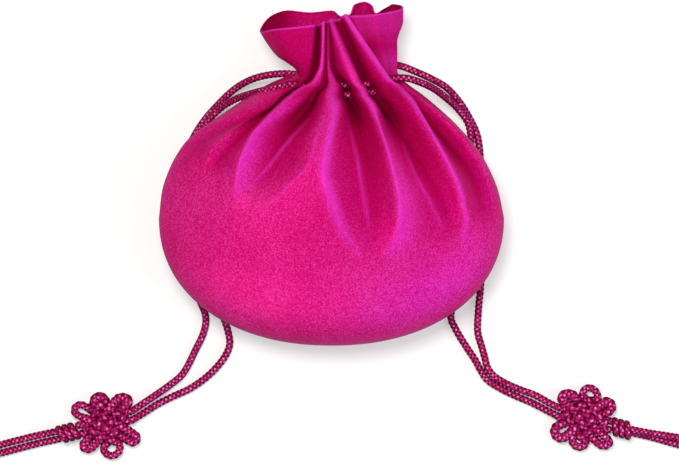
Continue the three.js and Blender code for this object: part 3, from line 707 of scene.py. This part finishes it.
# Bag: a front and a back panel of satin, gathered by the cords into a neck with a ruffle above it
bag = {
    "seamHeight": 19.0,
    "halfWidth": 68.6,
    "widest": 50.8,        # from the bottom edge
    "round": 2.15,         # how square the lower half is
    "frontRise": 26.0,
    "backFall": 22.5,
    "neck": 108.0,
    "neckTilt": 5.4,       # the neck is lower in front
    "tiltFrom": 80.0,
    "neckRise": 13.0,
    "shoulder": 2.2,       # how late the belly thins towards the neck
    "cloth": 0.55,
    "clothWidth": 0.21,    # across a panel on its cloth map
    # the hem thickens over its last rows, and its last rows carry a painted highlight
    "hem": {"cloth": 0.95, "rows": 4, "litRows": 2, "shine": 0.7},
    "rest": {"height": 0.45, "soft": 1.0},  # where the underside flattens on the table
    "lowerRows": 56,
    "upperRows": 96,
    "ruffleRows": 48,
    "columns": (15, 8),    # between one fold line and the next, in front and behind
    "foldGap": 0.012,      # least angle from one fold line to the next
    "nearSeam": 0.985,     # how near to the seams they come
    "crisp": 0.6,          # of the ridges on the belly
    "rolls": (84.0, 102.0),  # from where to where ridges turn into round rolls
    "rollWidth": 0.8,
    "rollRound": 2.4,
    "neckBand": 5,         # rows smoothed on each side of the neck
    "neckPasses": 6,
    "flank": 1.5,          # how late the painted shade deepens on the way down into a valley
    "foot": {"share": 0.4, "near": (0.0, 0.55), "far": (0.58, 0.95)},  # how the painted shade lifts on the way up
    "crestWidth": 0.8,
    "glowWidth": 6.5,      # of the painted sheen on the right of some ridges
    # fine creases: a raised relief, and a painted highlight along them
    "crease": {"height": 0.75, "width": 1.1, "ends": 0.7, "shine": 0.5, "shineWidth": 0.7},
    "lobeShine": [(0, 0.2), (0.25, 0.25), (0.5, 0.02), (0.75, 0.22), (1, 0.3)],  # painted sheen on the ruffle's right lobe
    "rolled": (4, 13),     # spans whose rim stands in round rolls
    # painted shade on the panels' inner side: dark towards both ends of the mouth, lighter in between
    "inside": {"dark": 0.75, "lit": 0.3, "left": (-21.0, -11.0), "right": (16.5, 19.5)},
    "edge": {"shade": 0.55, "reach": 2.0},  # painted shade, a dark line where the cloth turns under at the seams
    # seam line from the widest row to the neck, on the left and on the right
    "leftSeam": [(50.8, -68.6), (61.2, -67.4), (70.8, -64.2), (80.4, -58.5), (85.2, -53.4), (90, -46.6),
                 (94.8, -39.4), (99.6, -32), (103, -26), (106, -18.5), (108, -13.4)],
    "rightSeam": [(50.8, 68.6), (61.2, 66.4), (70.8, 62.5), (80.4, 56.4), (85.2, 52.2), (90, 47.6),
                  (94.8, 42.2), (99.6, 36.2), (103, 31.2), (106, 27.6), (108, 26.4)],
}

# How the ruffle leaves the neck: (share of its length, share of the way out to the rim)
ruffleWays = {
    "even": [(0, 0), (0.5, 0.5), (1, 1)],
    "soon": [(0, 0), (0.14, 0.45), (0.3, 0.82), (0.6, 0.96), (1, 1)],
    "leftEdge": [(0, 0), (0.16, 0.06), (0.3, 0.3), (0.42, 0.53), (0.7, 0.79), (1, 1)],
    "leftLobe": [(0, 0), (0.16, 0.14), (0.3, 0.38), (0.42, 0.56), (0.7, 0.82), (1, 1)],
    "rightLobe": [(0, 0), (0.2, 0.3), (0.4, 0.6), (0.7, 0.86), (1, 1)],
    "rightEdge": [(0, 0), (0.22, -0.75), (0.42, -0.95), (0.62, 0.3), (0.8, 1.0), (1, 1)],
}

# Fold lines of the front, from the left seam to the right one. Each line is a list of (across, along)
# from the neck down, and depth is how far it lies under the belly's round, as (along, depth). Rim is where
# it ends above the ruffle. Shade is painted shade down in a valley, crest the painted highlight on a ridge
# and glow the painted sheen on the cloth to its right, up to 1.
frontFolds = {
    "leftShoulder": {
        "line": [(-12.2, 108), (-22.6, 100), (-30.6, 96), (-38.2, 92), (-47.4, 88), (-58, 80)],
        "rim": (-23.0, 125.4, 26.0), "way": "leftLobe",
        "shade": [(0, 0), (102, 0), (108, 0.62)], "rimShade": 0.42,
    },
    "shoulderTuck": {
        "line": [(-11.4, 108), (-19.6, 100), (-27, 93.2), (-33.2, 90.6), (-42.6, 86), (-53, 79)],
        "depth": [(0, 0), (72, 0), (80, 1.4), (88, 2.4), (94, 2.4), (102, 1.0), (108, 0)],
        "rim": (-15.4, 126.0, 29.6), "way": "leftLobe",
        "shade": [(70, 0), (82, 0.3), (92, 0.35), (100, 0.3), (108, 0.62)], "rimShade": 0.42,
    },
    "underFold": {
        "line": [(-10.8, 107), (-18.6, 100), (-25.8, 93.4), (-32.4, 89.6), (-39.6, 84.6), (-47, 78)],
        "rim": (-7.0, 126.8, 30.6), "way": "leftLobe",
        "shade": [(0, 0), (96, 0), (108, 0.62)], "rimShade": 0.42,
    },
    "leftCrease": {
        "line": [(-10.0, 106), (-13.6, 102.4), (-25, 94), (-31.4, 89), (-37.6, 82.4), (-44.4, 74)],
        "depth": [(0, 0), (64, 0), (72, 1.2), (80, 2.6), (88, 4.0), (96, 5.5), (104, 6.5), (108, 6.5)],
        "rim": (-5.2, 127.4, 24.0), "way": "soon",
        "shade": [(66, 0), (76, 0.4), (86, 0.52), (94, 0.56), (101, 0.75), (108, 0.9)], "rimShade": 0.95,
    },
    "leftRidge": {
        "line": [(-6.4, 106), (-10.6, 102.4), (-15, 98.8), (-22.2, 92.4), (-28, 86.6), (-32.2, 80.4),
                 (-35.6, 72.4), (-37, 64.4)],
        "depth": [(0, 0), (50, 0), (62, -0.8), (74, -1.8), (86, -2.4), (98, -2.0), (108, -1.0)],
        "rim": (-3.2, 128.2, 30.0), "way": "soon",
        "crestShine": [(56, 0), (66, 0.5), (84, 0.9), (98, 0.7), (108, 0.5)],
        "glow": [(56, 0), (66, 0.45), (80, 0.55), (92, 0.4), (104, 0)],
    },
    "leftValley": {
        "line": [(-3.0, 105), (-5.2, 101), (-7.8, 97.2), (-13, 91), (-17.4, 86), (-21.4, 79),
                 (-25.4, 71.6), (-31, 61)],
        "depth": [(0, 0), (54, 0), (58, 0.5), (63, 1.7), (69, 3.6), (76, 5.8), (84, 7.8), (92, 9.6),
                  (98, 8.4), (103, 4.2), (108, 3.4)],
        "rim": (-1.9, 128.6, 24.6), "way": "soon",
        "shade": [(60, 0), (68, 0.3), (78, 0.56), (88, 0.82), (98, 0.98), (108, 1.0)], "rimShade": 0.6,
    },
    "middleBranch": {
        "line": [(-0.6, 106), (-1.2, 97), (-2.6, 90), (-4.4, 86), (-8.4, 73.2), (-16.6, 63.4),
                 (-25.4, 55)],
        "depth": [(0, 0), (54, 0), (62, -0.5), (70, -1.3), (80, -1.8), (94, -1.2), (102, -0.4),
                  (108, 1.2)],
        "rim": (-1.7, 128.7, 24.3), "way": "soon", "rimShade": 0.9,
        "crestShine": [(54, 0), (62, 0.3), (80, 0.4), (96, 0.2), (108, 0)],
    },
    "middleRidge": {
        "line": [(1.4, 106), (1.0, 95.6), (0.2, 85), (-1.7, 76), (-2.5, 68.6), (-0.3, 59.6), (2.7, 50),
                 (6.7, 42), (11.6, 36)],
        "depth": [(0, 0), (33, 0), (44, -0.6), (54, -1.2), (66, -2.0), (80, -2.0), (94, -1.2),
                  (102, -0.4), (108, 1.2)],
        "rim": (-1.5, 128.8, 24.3), "way": "soon", "rimShade": 0.9,
        "crestShine": [(34, 0), (44, 0.5), (56, 0.7), (74, 0.8), (98, 0.7), (108, 0.3)], "crestWidth": 2.4,
    },
    "middleValley": {
        "line": [(5.4, 105.6), (6.2, 102.4), (7.6, 97.6), (10.8, 89.6), (14.3, 78), (16.6, 66),
                 (17.6, 53), (16.4, 39)],
        "depth": [(0, 0), (34, 0), (39, 0.5), (46, 1.6), (54, 3.0), (62, 4.4), (70, 6.0), (78, 7.8),
                  (86, 9.4), (94, 10.4), (102, 10.8), (108, 10.4)],
        "rim": (-1.3, 128.9, 24.6), "way": "soon",
        "shade": [(36, 0), (44, 0.25), (54, 0.45), (70, 0.6), (84, 0.75), (94, 0.94), (102, 1.0),
                  (108, 1.0)],
        "rimShade": 0.6, "flank": 0.9,
    },
    "innerRidge": {
        "line": [(10.2, 106), (12.2, 102.6), (15.3, 95.6), (17.8, 89.2), (21, 79.2), (24.2, 67.8),
                 (26.4, 57), (26.6, 48.8), (24.6, 42), (20.4, 36.4)],
        "depth": [(0, 0), (33, 0), (44, -0.7), (54, -1.4), (66, -2.2), (80, -2.6), (94, -2.0),
                  (108, -1.0)],
        "rim": (-0.6, 129.0, 30.5), "way": "even", "rimShade": 0.5,
        "crestShine": [(34, 0), (42, 0.5), (54, 0.7), (74, 0.9), (98, 0.8), (108, 0.4)], "crestWidth": 1.3,
        "glow": [(32, 0), (42, 0.5), (58, 0.55), (72, 0.35), (86, 0.2), (94, 0)],
    },
    "rightValley": {
        "line": [(15.2, 106.6), (16.8, 103), (20, 96.6), (24.6, 90.6), (31, 81), (37.2, 71), (42.6, 60),
                 (46, 51), (46.8, 43)],
        "depth": [(0, 0), (38, 0), (43, 0.5), (49, 1.5), (56, 2.8), (63, 4.2), (70, 5.8), (78, 7.6),
                  (86, 9.2), (94, 10.4), (104, 10.8), (108, 10.4)],
        "rim": (2.6, 129.6, 24.0), "way": "even",
        "shade": [(40, 0), (48, 0.25), (57, 0.46), (70, 0.66), (84, 0.84), (94, 1.0), (108, 1.0)],
        "rimShade": 0.8,
    },
    "rightRidge": {
        "line": [(22.6, 107), (25.6, 103.6), (30.8, 97.4), (35.7, 89.8), (40.6, 80.8), (44.8, 73.0),
                 (49.0, 64.5), (51.6, 56.4), (52.8, 49.4), (51.6, 43)],
        "depth": [(0, 0), (38, 0), (46, -0.6), (54, -1.2), (64, -2.0), (80, -2.6), (94, -2.0),
                  (108, -1.0)],
        "rim": (5.4, 131.0, 32.0), "way": "even",
        "crestShine": [(39, 0), (46, 0.4), (54, 0.6), (74, 0.9), (98, 0.8), (108, 0.75)], "crestWidth": 1.3,
    },
    "outerValley": {
        "line": [(25.0, 107.4), (30.4, 101), (36, 94.8), (42, 88), (48.8, 79.6), (54.4, 71), (58.6, 60)],
        "depth": [(0, 0), (46, 0), (56, 0.8), (64, 1.8), (72, 3.0), (80, 4.4), (88, 5.6), (96, 6.0),
                  (108, 4.6)],
        "rim": (8.0, 131.0, 24.0), "way": "even",
        "shade": [(42, 0), (52, 0.25), (62, 0.52), (74, 0.74), (84, 0.84), (92, 0.8), (100, 0.64),
                  (108, 0.6)],
        "rimShade": 0.52, "flank": 1.0,
    },
    "outerRidge": {
        "line": [(25.8, 107.8), (32.4, 101.4), (39, 95), (45.8, 88.6), (53.2, 80.6), (58.8, 72.8),
                 (62.6, 64)],
        "depth": [(0, 0), (50, 0), (66, -0.8), (84, -1.2), (98, 0), (108, 2.6)],
        "rim": (18.6, 131.6, 25.6), "way": "rightLobe",
        "shade": [(0, 0), (100, 0), (108, 0.6)], "rimShade": 0.48,
    },
}

# The ruffle's rim at the seams, and behind from the right seam to the left one
seamRims = {
    "left": {"rim": (-28.6, 125.0, 17.0), "way": "leftEdge", "rimShade": 0.42},
    "right": {"rim": (28.4, 134.2, 19.0), "way": "rightEdge", "rimShade": 0.55},
}
backRim = [
    ((27.6, 135.6, 15.0), "rightEdge"), ((24.4, 136.0, 12.5), "rightLobe"), ((20.6, 134.2, 13.0), "even"),
    ((17.6, 132.5, 14.0), "even"), ((16.4, 135.5, 13.0), "even"), ((13.6, 137.1, 12.0), "even"),
    ((9.0, 136.0, 11.5), "even"), ((7.2, 132.1, 13.0), "even"), ((3.6, 131.5, 12.3), "even"),
    ((1.0, 133.4, 10.6), "even"), ((-8.6, 133.0, 9.0), "even"), ((-18.6, 133.6, 8.0), "leftLobe"),
    ((-25.0, 131.0, 10.5), "leftEdge"),
]
backDepth = [(0, 0), (58, 0), (72, 1.0), (84, 2.6), (96, 4.6), (108, 6.4)]

# Fine creases in the front's valleys, as (across, along) points
frontCreases = [
    [(-8.4, 90.4), (-16.6, 81.4), (-25.5, 70), (-32.2, 62.8)],
    [(6.2, 91.2), (10.4, 73.2), (13.3, 56.8), (15, 44.8)],
    [(27.4, 81.2), (33.4, 66.8), (39, 56.8), (44.6, 44.8)],
]

folds = list(frontFolds.values())
rimFolds = [seamRims["left"], *folds, seamRims["right"]]
frontSpans = [bag["columns"][0]] * (len(folds) + 1)
backSpans = [bag["columns"][1]] * (len(backRim) + 1)
nothing = [(0, 0), (1, 0)]  # for folds without a table of their own


# Seam places and rises of the level rows
def bagSection(along):
    low = np.clip(along / bag["widest"], 0, 1)
    full = (1 - (1 - low) ** bag["round"]) ** (1 / bag["round"])
    climb = np.clip((along - bag["widest"]) / (bag["neck"] - bag["widest"]), 0, 1)
    thin = climb ** bag["shoulder"]
    upper = along > bag["widest"]
    left = np.where(upper, smoothLine(bag["leftSeam"], along), -bag["halfWidth"] * full)
    right = np.where(upper, smoothLine(bag["rightSeam"], along), bag["halfWidth"] * full)
    front, back = [np.where(upper, rise + (bag["neckRise"] - rise) * thin, rise * full)
                   for rise in (bag["frontRise"], bag["backFall"])]
    return left, right, front, back


def neckDrop(along, angle):
    return bag["neckTilt"] * np.sin(angle) * smoothstep(bag["tiltFrom"], bag["neck"], along)


# Angle round its section of a fold line at each row, 180 degrees at the left seam and 0 at the right
def foldAngles(line, rows):
    knots = {}
    for across, height in line:
        along = height
        for _ in range(4):  # the row depends on the angle, and the angle on the row
            left, right, _, _ = bagSection(np.array([min(along, bag["neck"])]))
            share = (across - (left + right)[0] / 2) / ((right - left)[0] / 2)
            angle = math.acos(min(bag["nearSeam"], max(-bag["nearSeam"], share)))
            along = height + float(neckDrop(along, angle))
        knots[round(min(along, bag["neck"]), 3)] = angle
    return smoothLine(list(knots.items()), rows)


# What the fold lines' tables say at each row, and 0 at both seams
def foldValues(key, rows):
    return np.array([0 * rows, *(smoothLine(fold.get(key, nothing), rows) for fold in folds), 0 * rows]).T


# Share of the way from a ridge to the valley beside it, for a soft wave, a crisp ridge or a round roll
def foldProfile(share, crisp, roll):
    wave = share * share * (3 - 2 * share)
    ridge = 1 - (1 - share) ** 2
    rolled = 1 - np.sqrt(1 - np.clip(share / bag["rollWidth"], 0, 1) ** bag["rollRound"])
    return wave + crisp * (ridge - wave) + roll * (rolled - wave)


# Both lines' values and the share of the way across, for each span between fold lines
def betweenLines(values, counts):
    for i, count in enumerate(counts):
        yield values[:, [i]], values[:, [(i + 1) % values.shape[1]]], np.arange(count)[None, :] / count


def spreadColumns(values, counts):
    return np.hstack([a + (b - a) * share for a, b, share in betweenLines(values, counts)])


def spreadDepths(depths, counts, crisp, roll):
    parts = []
    for a, b, share in betweenLines(depths, counts):
        walk = np.where(a <= b, share, 1 - share)
        low, high = np.minimum(a, b), np.maximum(a, b)
        parts.append(low + (high - low) * foldProfile(walk, crisp, roll))
    return np.hstack(parts)


# Painted shade between fold lines: dark from a valley up to the foot of the ridge on its right
def spreadShades(shades, counts, flanks):
    foot = bag["foot"]
    parts = []
    for (a, b, share), flank in zip(betweenLines(shades, counts), flanks):
        near, far = smoothstep(*foot["near"], share), smoothstep(*foot["far"], share)
        rising = foot["share"] * near + (1 - foot["share"]) * far
        parts.append(a + (b - a) * np.where(b > a, share ** flank, rising))
    return np.hstack(parts)


# Height and painted highlight of the fine creases
def creaseRelief(across, along):
    spec = bag["crease"]
    raised, shine = np.zeros_like(across), np.zeros_like(across)
    for line in frontCreases:
        nearest = np.full_like(across, np.inf)
        fade = np.zeros_like(across)
        pieces = len(line) - 1
        for i in range(pieces):
            a, b = np.array(line[i:i + 2], float)
            span = b - a
            share = np.clip(((across - a[0]) * span[0] + (along - a[1]) * span[1]) / (span @ span), 0, 1)
            gap = np.hypot(across - a[0] - share * span[0], along - a[1] - share * span[1])
            fade = np.where(gap < nearest, np.sin(np.pi * (i + share) / pieces) ** spec["ends"], fade)
            nearest = np.minimum(nearest, gap)
        raised += spec["height"] * fade * np.exp(-(nearest / spec["width"]) ** 2)
        shine = np.maximum(shine, spec["shine"] * fade * np.exp(-(nearest / spec["shineWidth"]) ** 2))
    return raised, shine


# Outer side of the belly, a row for each level and columns once round from the left seam, and the painted
# highlight on its fine creases
def bellyGrid(rows):
    left, right, front, back = bagSection(rows)
    angles = [0 * rows + np.pi, *(foldAngles(fold["line"], rows) for fold in folds), 0 * rows]
    for i in range(1, len(angles) - 1):
        angles[i] = np.minimum(angles[i], angles[i - 1] - bag["foldGap"])
    for i in range(len(angles) - 2, 0, -1):
        angles[i] = np.maximum(angles[i], angles[i + 1] + bag["foldGap"])
    spans = len(backSpans)
    backAngles = [0 * rows - np.pi * i / spans for i in range(spans + 1)]
    sunk = smoothLine(backDepth, rows)
    backDepths = [sunk if i % 2 == 0 and 0 < i < spans else 0 * rows for i in range(spans + 1)]
    roll = smoothstep(*bag["rolls"], rows)[:, None]
    crisp = bag["crisp"] * (1 - roll)
    angle = np.hstack([spreadColumns(np.array(angles).T, frontSpans),
                       spreadColumns(np.array(backAngles).T, backSpans)])
    depth = np.hstack([spreadDepths(foldValues("depth", rows), frontSpans, crisp, roll),
                       spreadDepths(np.array(backDepths).T, backSpans, crisp, roll)])
    half = ((right - left) / 2)[:, None]
    middle = ((right + left) / 2)[:, None]
    rise = np.where(np.sin(angle) >= 0, front[:, None], back[:, None])
    outX, outZ = np.cos(angle) / half, np.sin(angle) / rise
    size = np.hypot(outX, outZ)
    x = middle + half * np.cos(angle) - depth * outX / size
    y = rows[:, None] - neckDrop(rows[:, None], angle)
    z = bag["seamHeight"] + rise * np.sin(angle) - depth * outZ / size
    # the fine creases' relief, and their painted highlight
    raised, creased = [np.where(np.sin(angle) > 0, value, 0) for value in creaseRelief(x, y)]
    return np.stack([x, y, z + raised], axis=-1), creased


# The ruffle above the neck, up to its rim
def ruffleGrid(neck, shares):
    rimPoints = [(fold["rim"], fold["way"]) for fold in rimFolds] + backRim
    places = np.array([place for place, _ in rimPoints])
    ring = np.vstack([places[-1], places, places[:2]])
    rim = np.vstack(curveSpans(ring, 0.3, [np.arange(count) / count for count in frontSpans + backSpans]))
    count = frontSpans[0]
    for i in range(*bag["rolled"]):
        first, second = places[i, 2], places[i + 1, 2]
        walk = np.arange(count) / count
        walk = walk if first >= second else 1 - walk
        high, low = max(first, second), min(first, second)
        rim[i * count:(i + 1) * count, 2] = high + (low - high) * foldProfile(walk, 0.0, 1.0)
    ways = np.array([smoothLine(ruffleWays[way], shares) for _, way in rimPoints]).T
    ruffle = neck + (rim - neck) * spreadColumns(ways, frontSpans + backSpans)[..., None]
    ruffle[..., 1] = neck[:, 1] + (rim[:, 1] - neck[:, 1]) * shares[:, None]
    return ruffle


# Belly and ruffle in one, smoothed over the neck and flattened where they lie on the table
def bagGrid(rows, shares):
    belly, creased = bellyGrid(rows)
    grid = np.vstack([belly, ruffleGrid(belly[-1], shares)])
    low, high = len(rows) - 1 - bag["neckBand"], len(rows) + bag["neckBand"]
    for _ in range(bag["neckPasses"]):
        beside = grid[low - 1:high - 1] + grid[low + 1:high + 1]
        grid[low:high] = 0.5 * grid[low:high] + 0.25 * beside
    rest, soft = bag["rest"]["height"], bag["rest"]["soft"]
    grid[..., 2] = rest + soft * np.logaddexp(0, (grid[..., 2] - rest) / soft)
    return grid, creased


# Painted shade: how dark the cloth is drawn in the valleys, on the ruffle and at the seams
def shadeGrid(grid, rows, shares):
    shades = foldValues("shade", rows)
    rimShades = np.array([fold.get("rimShade", 0.0) for fold in rimFolds])
    above = shades[-1:] + (rimShades - shades[-1:]) * shares[:, None]
    flanks = [fold.get("flank", bag["flank"]) for fold in folds] + [bag["flank"]]
    front = spreadShades(np.vstack([shades, above]), frontSpans, flanks)
    shade = np.hstack([front, np.zeros((len(grid), sum(backSpans)))])
    belly, edge = slice(0, len(rows)), bag["edge"]
    # painted shade along the seams, where the cloth turns under
    off = np.abs(grid[belly, :, 2] - bag["seamHeight"]) / edge["reach"]
    shade[belly] = np.maximum(shade[belly], edge["shade"] * np.exp(-off ** 2))
    return shade


# Painted highlight and sheen: how much the cloth shines, by the distance from each ridge's column,
# on the creases, a lobe and the hem
def crestGrid(grid, rows, shares, creased):
    levels = np.concatenate([rows, bag["neck"] + 0 * shares])
    shine = np.zeros(grid.shape[:2])
    count = frontSpans[0]
    for i, fold in enumerate(folds):
        if "crestShine" not in fold:
            continue
        column = (i + 1) * count
        strength, glow = smoothLine(fold["crestShine"], levels), smoothLine(fold.get("glow", nothing), levels)
        width = fold.get("crestWidth", bag["crestWidth"])
        for step in range(-count, count + 1):
            gap = np.linalg.norm(grid[:, column + step] - grid[:, column], axis=1)
            level = strength * np.exp(-(gap / width) ** 2)
            if step > 0:
                level = np.maximum(level, glow * np.exp(-(gap / bag["glowWidth"]) ** 2))
            shine[:, column + step] = np.maximum(shine[:, column + step], level)
    belly, ruffle = slice(0, len(rows)), slice(len(rows), None)
    shine[belly] = np.maximum(shine[belly], creased)
    lobe = slice(count * (len(folds) - 1), count * (len(folds) + 1) + 1)
    lit = smoothLine(bag["lobeShine"], shares)[:, None]
    shine[ruffle, lobe] = np.maximum(shine[ruffle, lobe], lit)
    shine[-bag["hem"]["litRows"]:] = bag["hem"]["shine"]
    return shine


def gridNormals(grid):
    alongStep = np.gradient(grid, axis=0)
    acrossStep = np.roll(grid, -1, axis=1) - np.roll(grid, 1, axis=1)
    normal = np.cross(acrossStep, alongStep)
    return normal / np.maximum(np.linalg.norm(normal, axis=2), 1e-9)[..., None]


# One panel: its columns of the grid as a closed sheet, with the outer side, the inner side and the edges
def makePanel(name, outer, inner, looks, columns, node):
    a, b = outer[:, columns], inner[:, columns]
    rows, count = a.shape[:2]
    pole = np.array([[0.0, 0.0, bag["seamHeight"]], [0.0, bag["cloth"], bag["seamHeight"]]])
    points = np.vstack([a.reshape(-1, 3), b.reshape(-1, 3), pole])
    size = rows * count
    outerPole, innerPole = 2 * size, 2 * size + 1
    faces = []

    def at(side, row, column):
        return side * size + row * count + column

    for row in range(rows - 1):
        for k in range(count - 1):
            faces.append((at(0, row, k), at(0, row, k + 1), at(0, row + 1, k + 1), at(0, row + 1, k)))
            faces.append((at(1, row, k), at(1, row + 1, k), at(1, row + 1, k + 1), at(1, row, k + 1)))
        for k, flip in ((0, 1), (count - 1, -1)):
            edge = (at(0, row, k), at(0, row + 1, k), at(1, row + 1, k), at(1, row, k))
            faces.append(edge[::flip])
    top = rows - 1
    for k in range(count - 1):
        faces.append((at(0, top, k), at(0, top, k + 1), at(1, top, k + 1), at(1, top, k)))
        faces.append((outerPole, at(0, 0, k + 1), at(0, 0, k)))
        faces.append((innerPole, at(1, 0, k), at(1, 0, k + 1)))
    faces.append((outerPole, at(0, 0, 0), at(1, 0, 0), innerPole))
    faces.append((outerPole, innerPole, at(1, 0, count - 1), at(0, 0, count - 1)))
    across = np.linspace(0, bag["clothWidth"], count)[None, :].repeat(rows, axis=0)
    walked = walkedAlong(a[:, count // 2]) * mm
    chart = np.stack([across, walked[:, None].repeat(count, axis=1)], axis=-1).reshape(-1, 2)
    uv = np.vstack([chart, chart, [[bag["clothWidth"] / 2, 0]] * 2])
    values = {label: np.concatenate([sides[0][:, columns].ravel(), sides[1][:, columns].ravel(), [0, 0]])
              for label, sides in looks.items()}
    panel = makeObject(name, toFrame(points), faces, satin, uv=uv, values=values)
    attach(panel, "root")
    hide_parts(node)
    return panel


lowerTurn = np.linspace(0, np.pi / 2, bag["lowerRows"] + 1)[1:]
upperLevels = np.linspace(bag["widest"], bag["neck"], bag["upperRows"] + 1)[1:]
rows = np.concatenate([bag["widest"] * (1 - np.cos(lowerTurn)), upperLevels])
shares = np.linspace(0, 1, bag["ruffleRows"] + 1)[1:]
outerSide, creased = bagGrid(rows, shares)
shade = shadeGrid(outerSide, rows, shares)
crestShine = crestGrid(outerSide, rows, shares, creased)
hem = bag["hem"]
thickness = np.full(len(outerSide), bag["cloth"])
thickness[-hem["rows"]:] = np.linspace(bag["cloth"], hem["cloth"], hem["rows"])
innerSide = outerSide - gridNormals(outerSide) * thickness[:, None, None]
# painted shade and light inside the mouth
inside = bag["inside"]
lit = smoothstep(*inside["left"], outerSide[..., 0]) - smoothstep(*inside["right"], outerSide[..., 0])
shadeInside = inside["dark"] + (inside["lit"] - inside["dark"]) * lit
# painted shade and painted highlight, carried to the satin as point attributes
looks = {"shade": (shade, shadeInside), "crestShine": (crestShine, 0 * crestShine)}
allColumns = outerSide.shape[1]
seamColumn = sum(frontSpans)
frontColumns = np.arange(0, seamColumn + 1)
backColumns = np.arange(seamColumn, allColumns + 1) % allColumns
frontPanel = makePanel("front_panel_satin", outerSide, innerSide, looks, frontColumns, "front_panel")
backPanel = makePanel("back_panel_satin", outerSide, innerSide, looks, backColumns, "back_panel")
for panel in (frontPanel, backPanel):
    cloth = sum(face.area for face in panel.data.polygons) / 2
    print(panel.name, "has", round(cloth * 1e4, 1), "square centimetres of cloth")
print("bag sewn")


# Floor and light
studio = {
    "floorSize": 6.0,
    "floorColour": (0.45, 0.45, 0.45),
    "shade": 0.6,       # how much of the floor's white takes the shadow
    "whiteAt": 1.06,
    "ambient": 0.32,
    "lamps": {
        "topLamp": {"place": (-0.15, 0.26, 1.2), "size": 0.45, "power": 11.2, "colour": (1.0, 0.95, 0.9),
                    "glossy": False},
        "rightLamp": {"place": (0.9, -0.3, 0.66), "size": 0.8, "power": 4.2, "colour": (0.85, 0.9, 1.0),
                      "glossy": False},
        "sheenLamp": {"place": (0.72, -0.82, 0.5), "size": 1.3, "power": 9.5, "colour": (0.14, 0.42, 1.0),
                      "diffuse": False},
        "glowLamp": {"place": (-0.42, -0.85, 0.78), "size": 1.2, "power": 3.8, "colour": (1.0, 0.9, 0.95),
                     "diffuse": False},
        "crestLamp": {"place": (-0.35, 0.1, 1.2), "size": 0.35, "power": 1.0, "colour": (1.0, 0.9, 1.0),
                      "diffuse": False},
    },
}


def makeFloor(spec):
    bpy.ops.mesh.primitive_plane_add(size=spec["floorSize"], location=(0, 0, 0))
    floor = bpy.context.object
    floor.name = "paleFloor"
    material, nodes, links, shader = newMaterial("paleFloor")
    output = nodes["Material Output"]
    nodes.remove(shader)
    path = nodes.new("ShaderNodeLightPath")
    plain = addNode(nodes, "ShaderNodeBsdfDiffuse", Color=(*spec["floorColour"], 1.0))
    shade = spec["shade"]
    level = shade * spec["whiteAt"]
    shaded = addNode(nodes, "ShaderNodeBsdfDiffuse", Color=(level, level, level, 1.0))
    white = addNode(nodes, "ShaderNodeEmission", Color=(1, 1, 1, 1), Strength=1.0 - shade)
    both = nodes.new("ShaderNodeAddShader")
    links.new(shaded.outputs[0], both.inputs[0])
    links.new(white.outputs[0], both.inputs[1])
    mix = nodes.new("ShaderNodeMixShader")
    links.new(path.outputs["Is Camera Ray"], mix.inputs["Fac"])
    links.new(plain.outputs[0], mix.inputs[1])
    links.new(both.outputs[0], mix.inputs[2])
    links.new(mix.outputs[0], output.inputs["Surface"])
    floor.data.materials.append(material)


def makeLamp(name, spec):
    data = bpy.data.lights.new(name, "AREA")
    data.shape = "DISK"
    data.size = spec["size"]
    data.energy = spec["power"]
    data.color = spec["colour"]
    lamp = bpy.data.objects.new(name, data)
    lamp.location = spec["place"]
    lamp.rotation_mode = "QUATERNION"
    lamp.rotation_quaternion = (-Vector(spec["place"])).to_track_quat("-Z", "Y")
    lamp.visible_glossy = spec.get("glossy", True)
    lamp.visible_diffuse = spec.get("diffuse", True)
    scene.collection.objects.link(lamp)


def makeWorld(spec):
    world = bpy.data.worlds.new("studio")
    scene.world = world
    world.use_nodes = True
    nodes, links = world.node_tree.nodes, world.node_tree.links
    path = nodes.new("ShaderNodeLightPath")
    level = addNode(nodes, "ShaderNodeMapRange")
    level.inputs["To Min"].default_value = spec["ambient"]
    level.inputs["To Max"].default_value = 1.0
    links.new(path.outputs["Is Camera Ray"], level.inputs["Value"])
    links.new(level.outputs["Result"], nodes["Background"].inputs["Strength"])
    nodes["Background"].inputs["Color"].default_value = (1, 1, 1, 1)


makeFloor(studio)
makeWorld(studio)
for name, spec in studio["lamps"].items():
    makeLamp(name, spec)
print("studio lit")
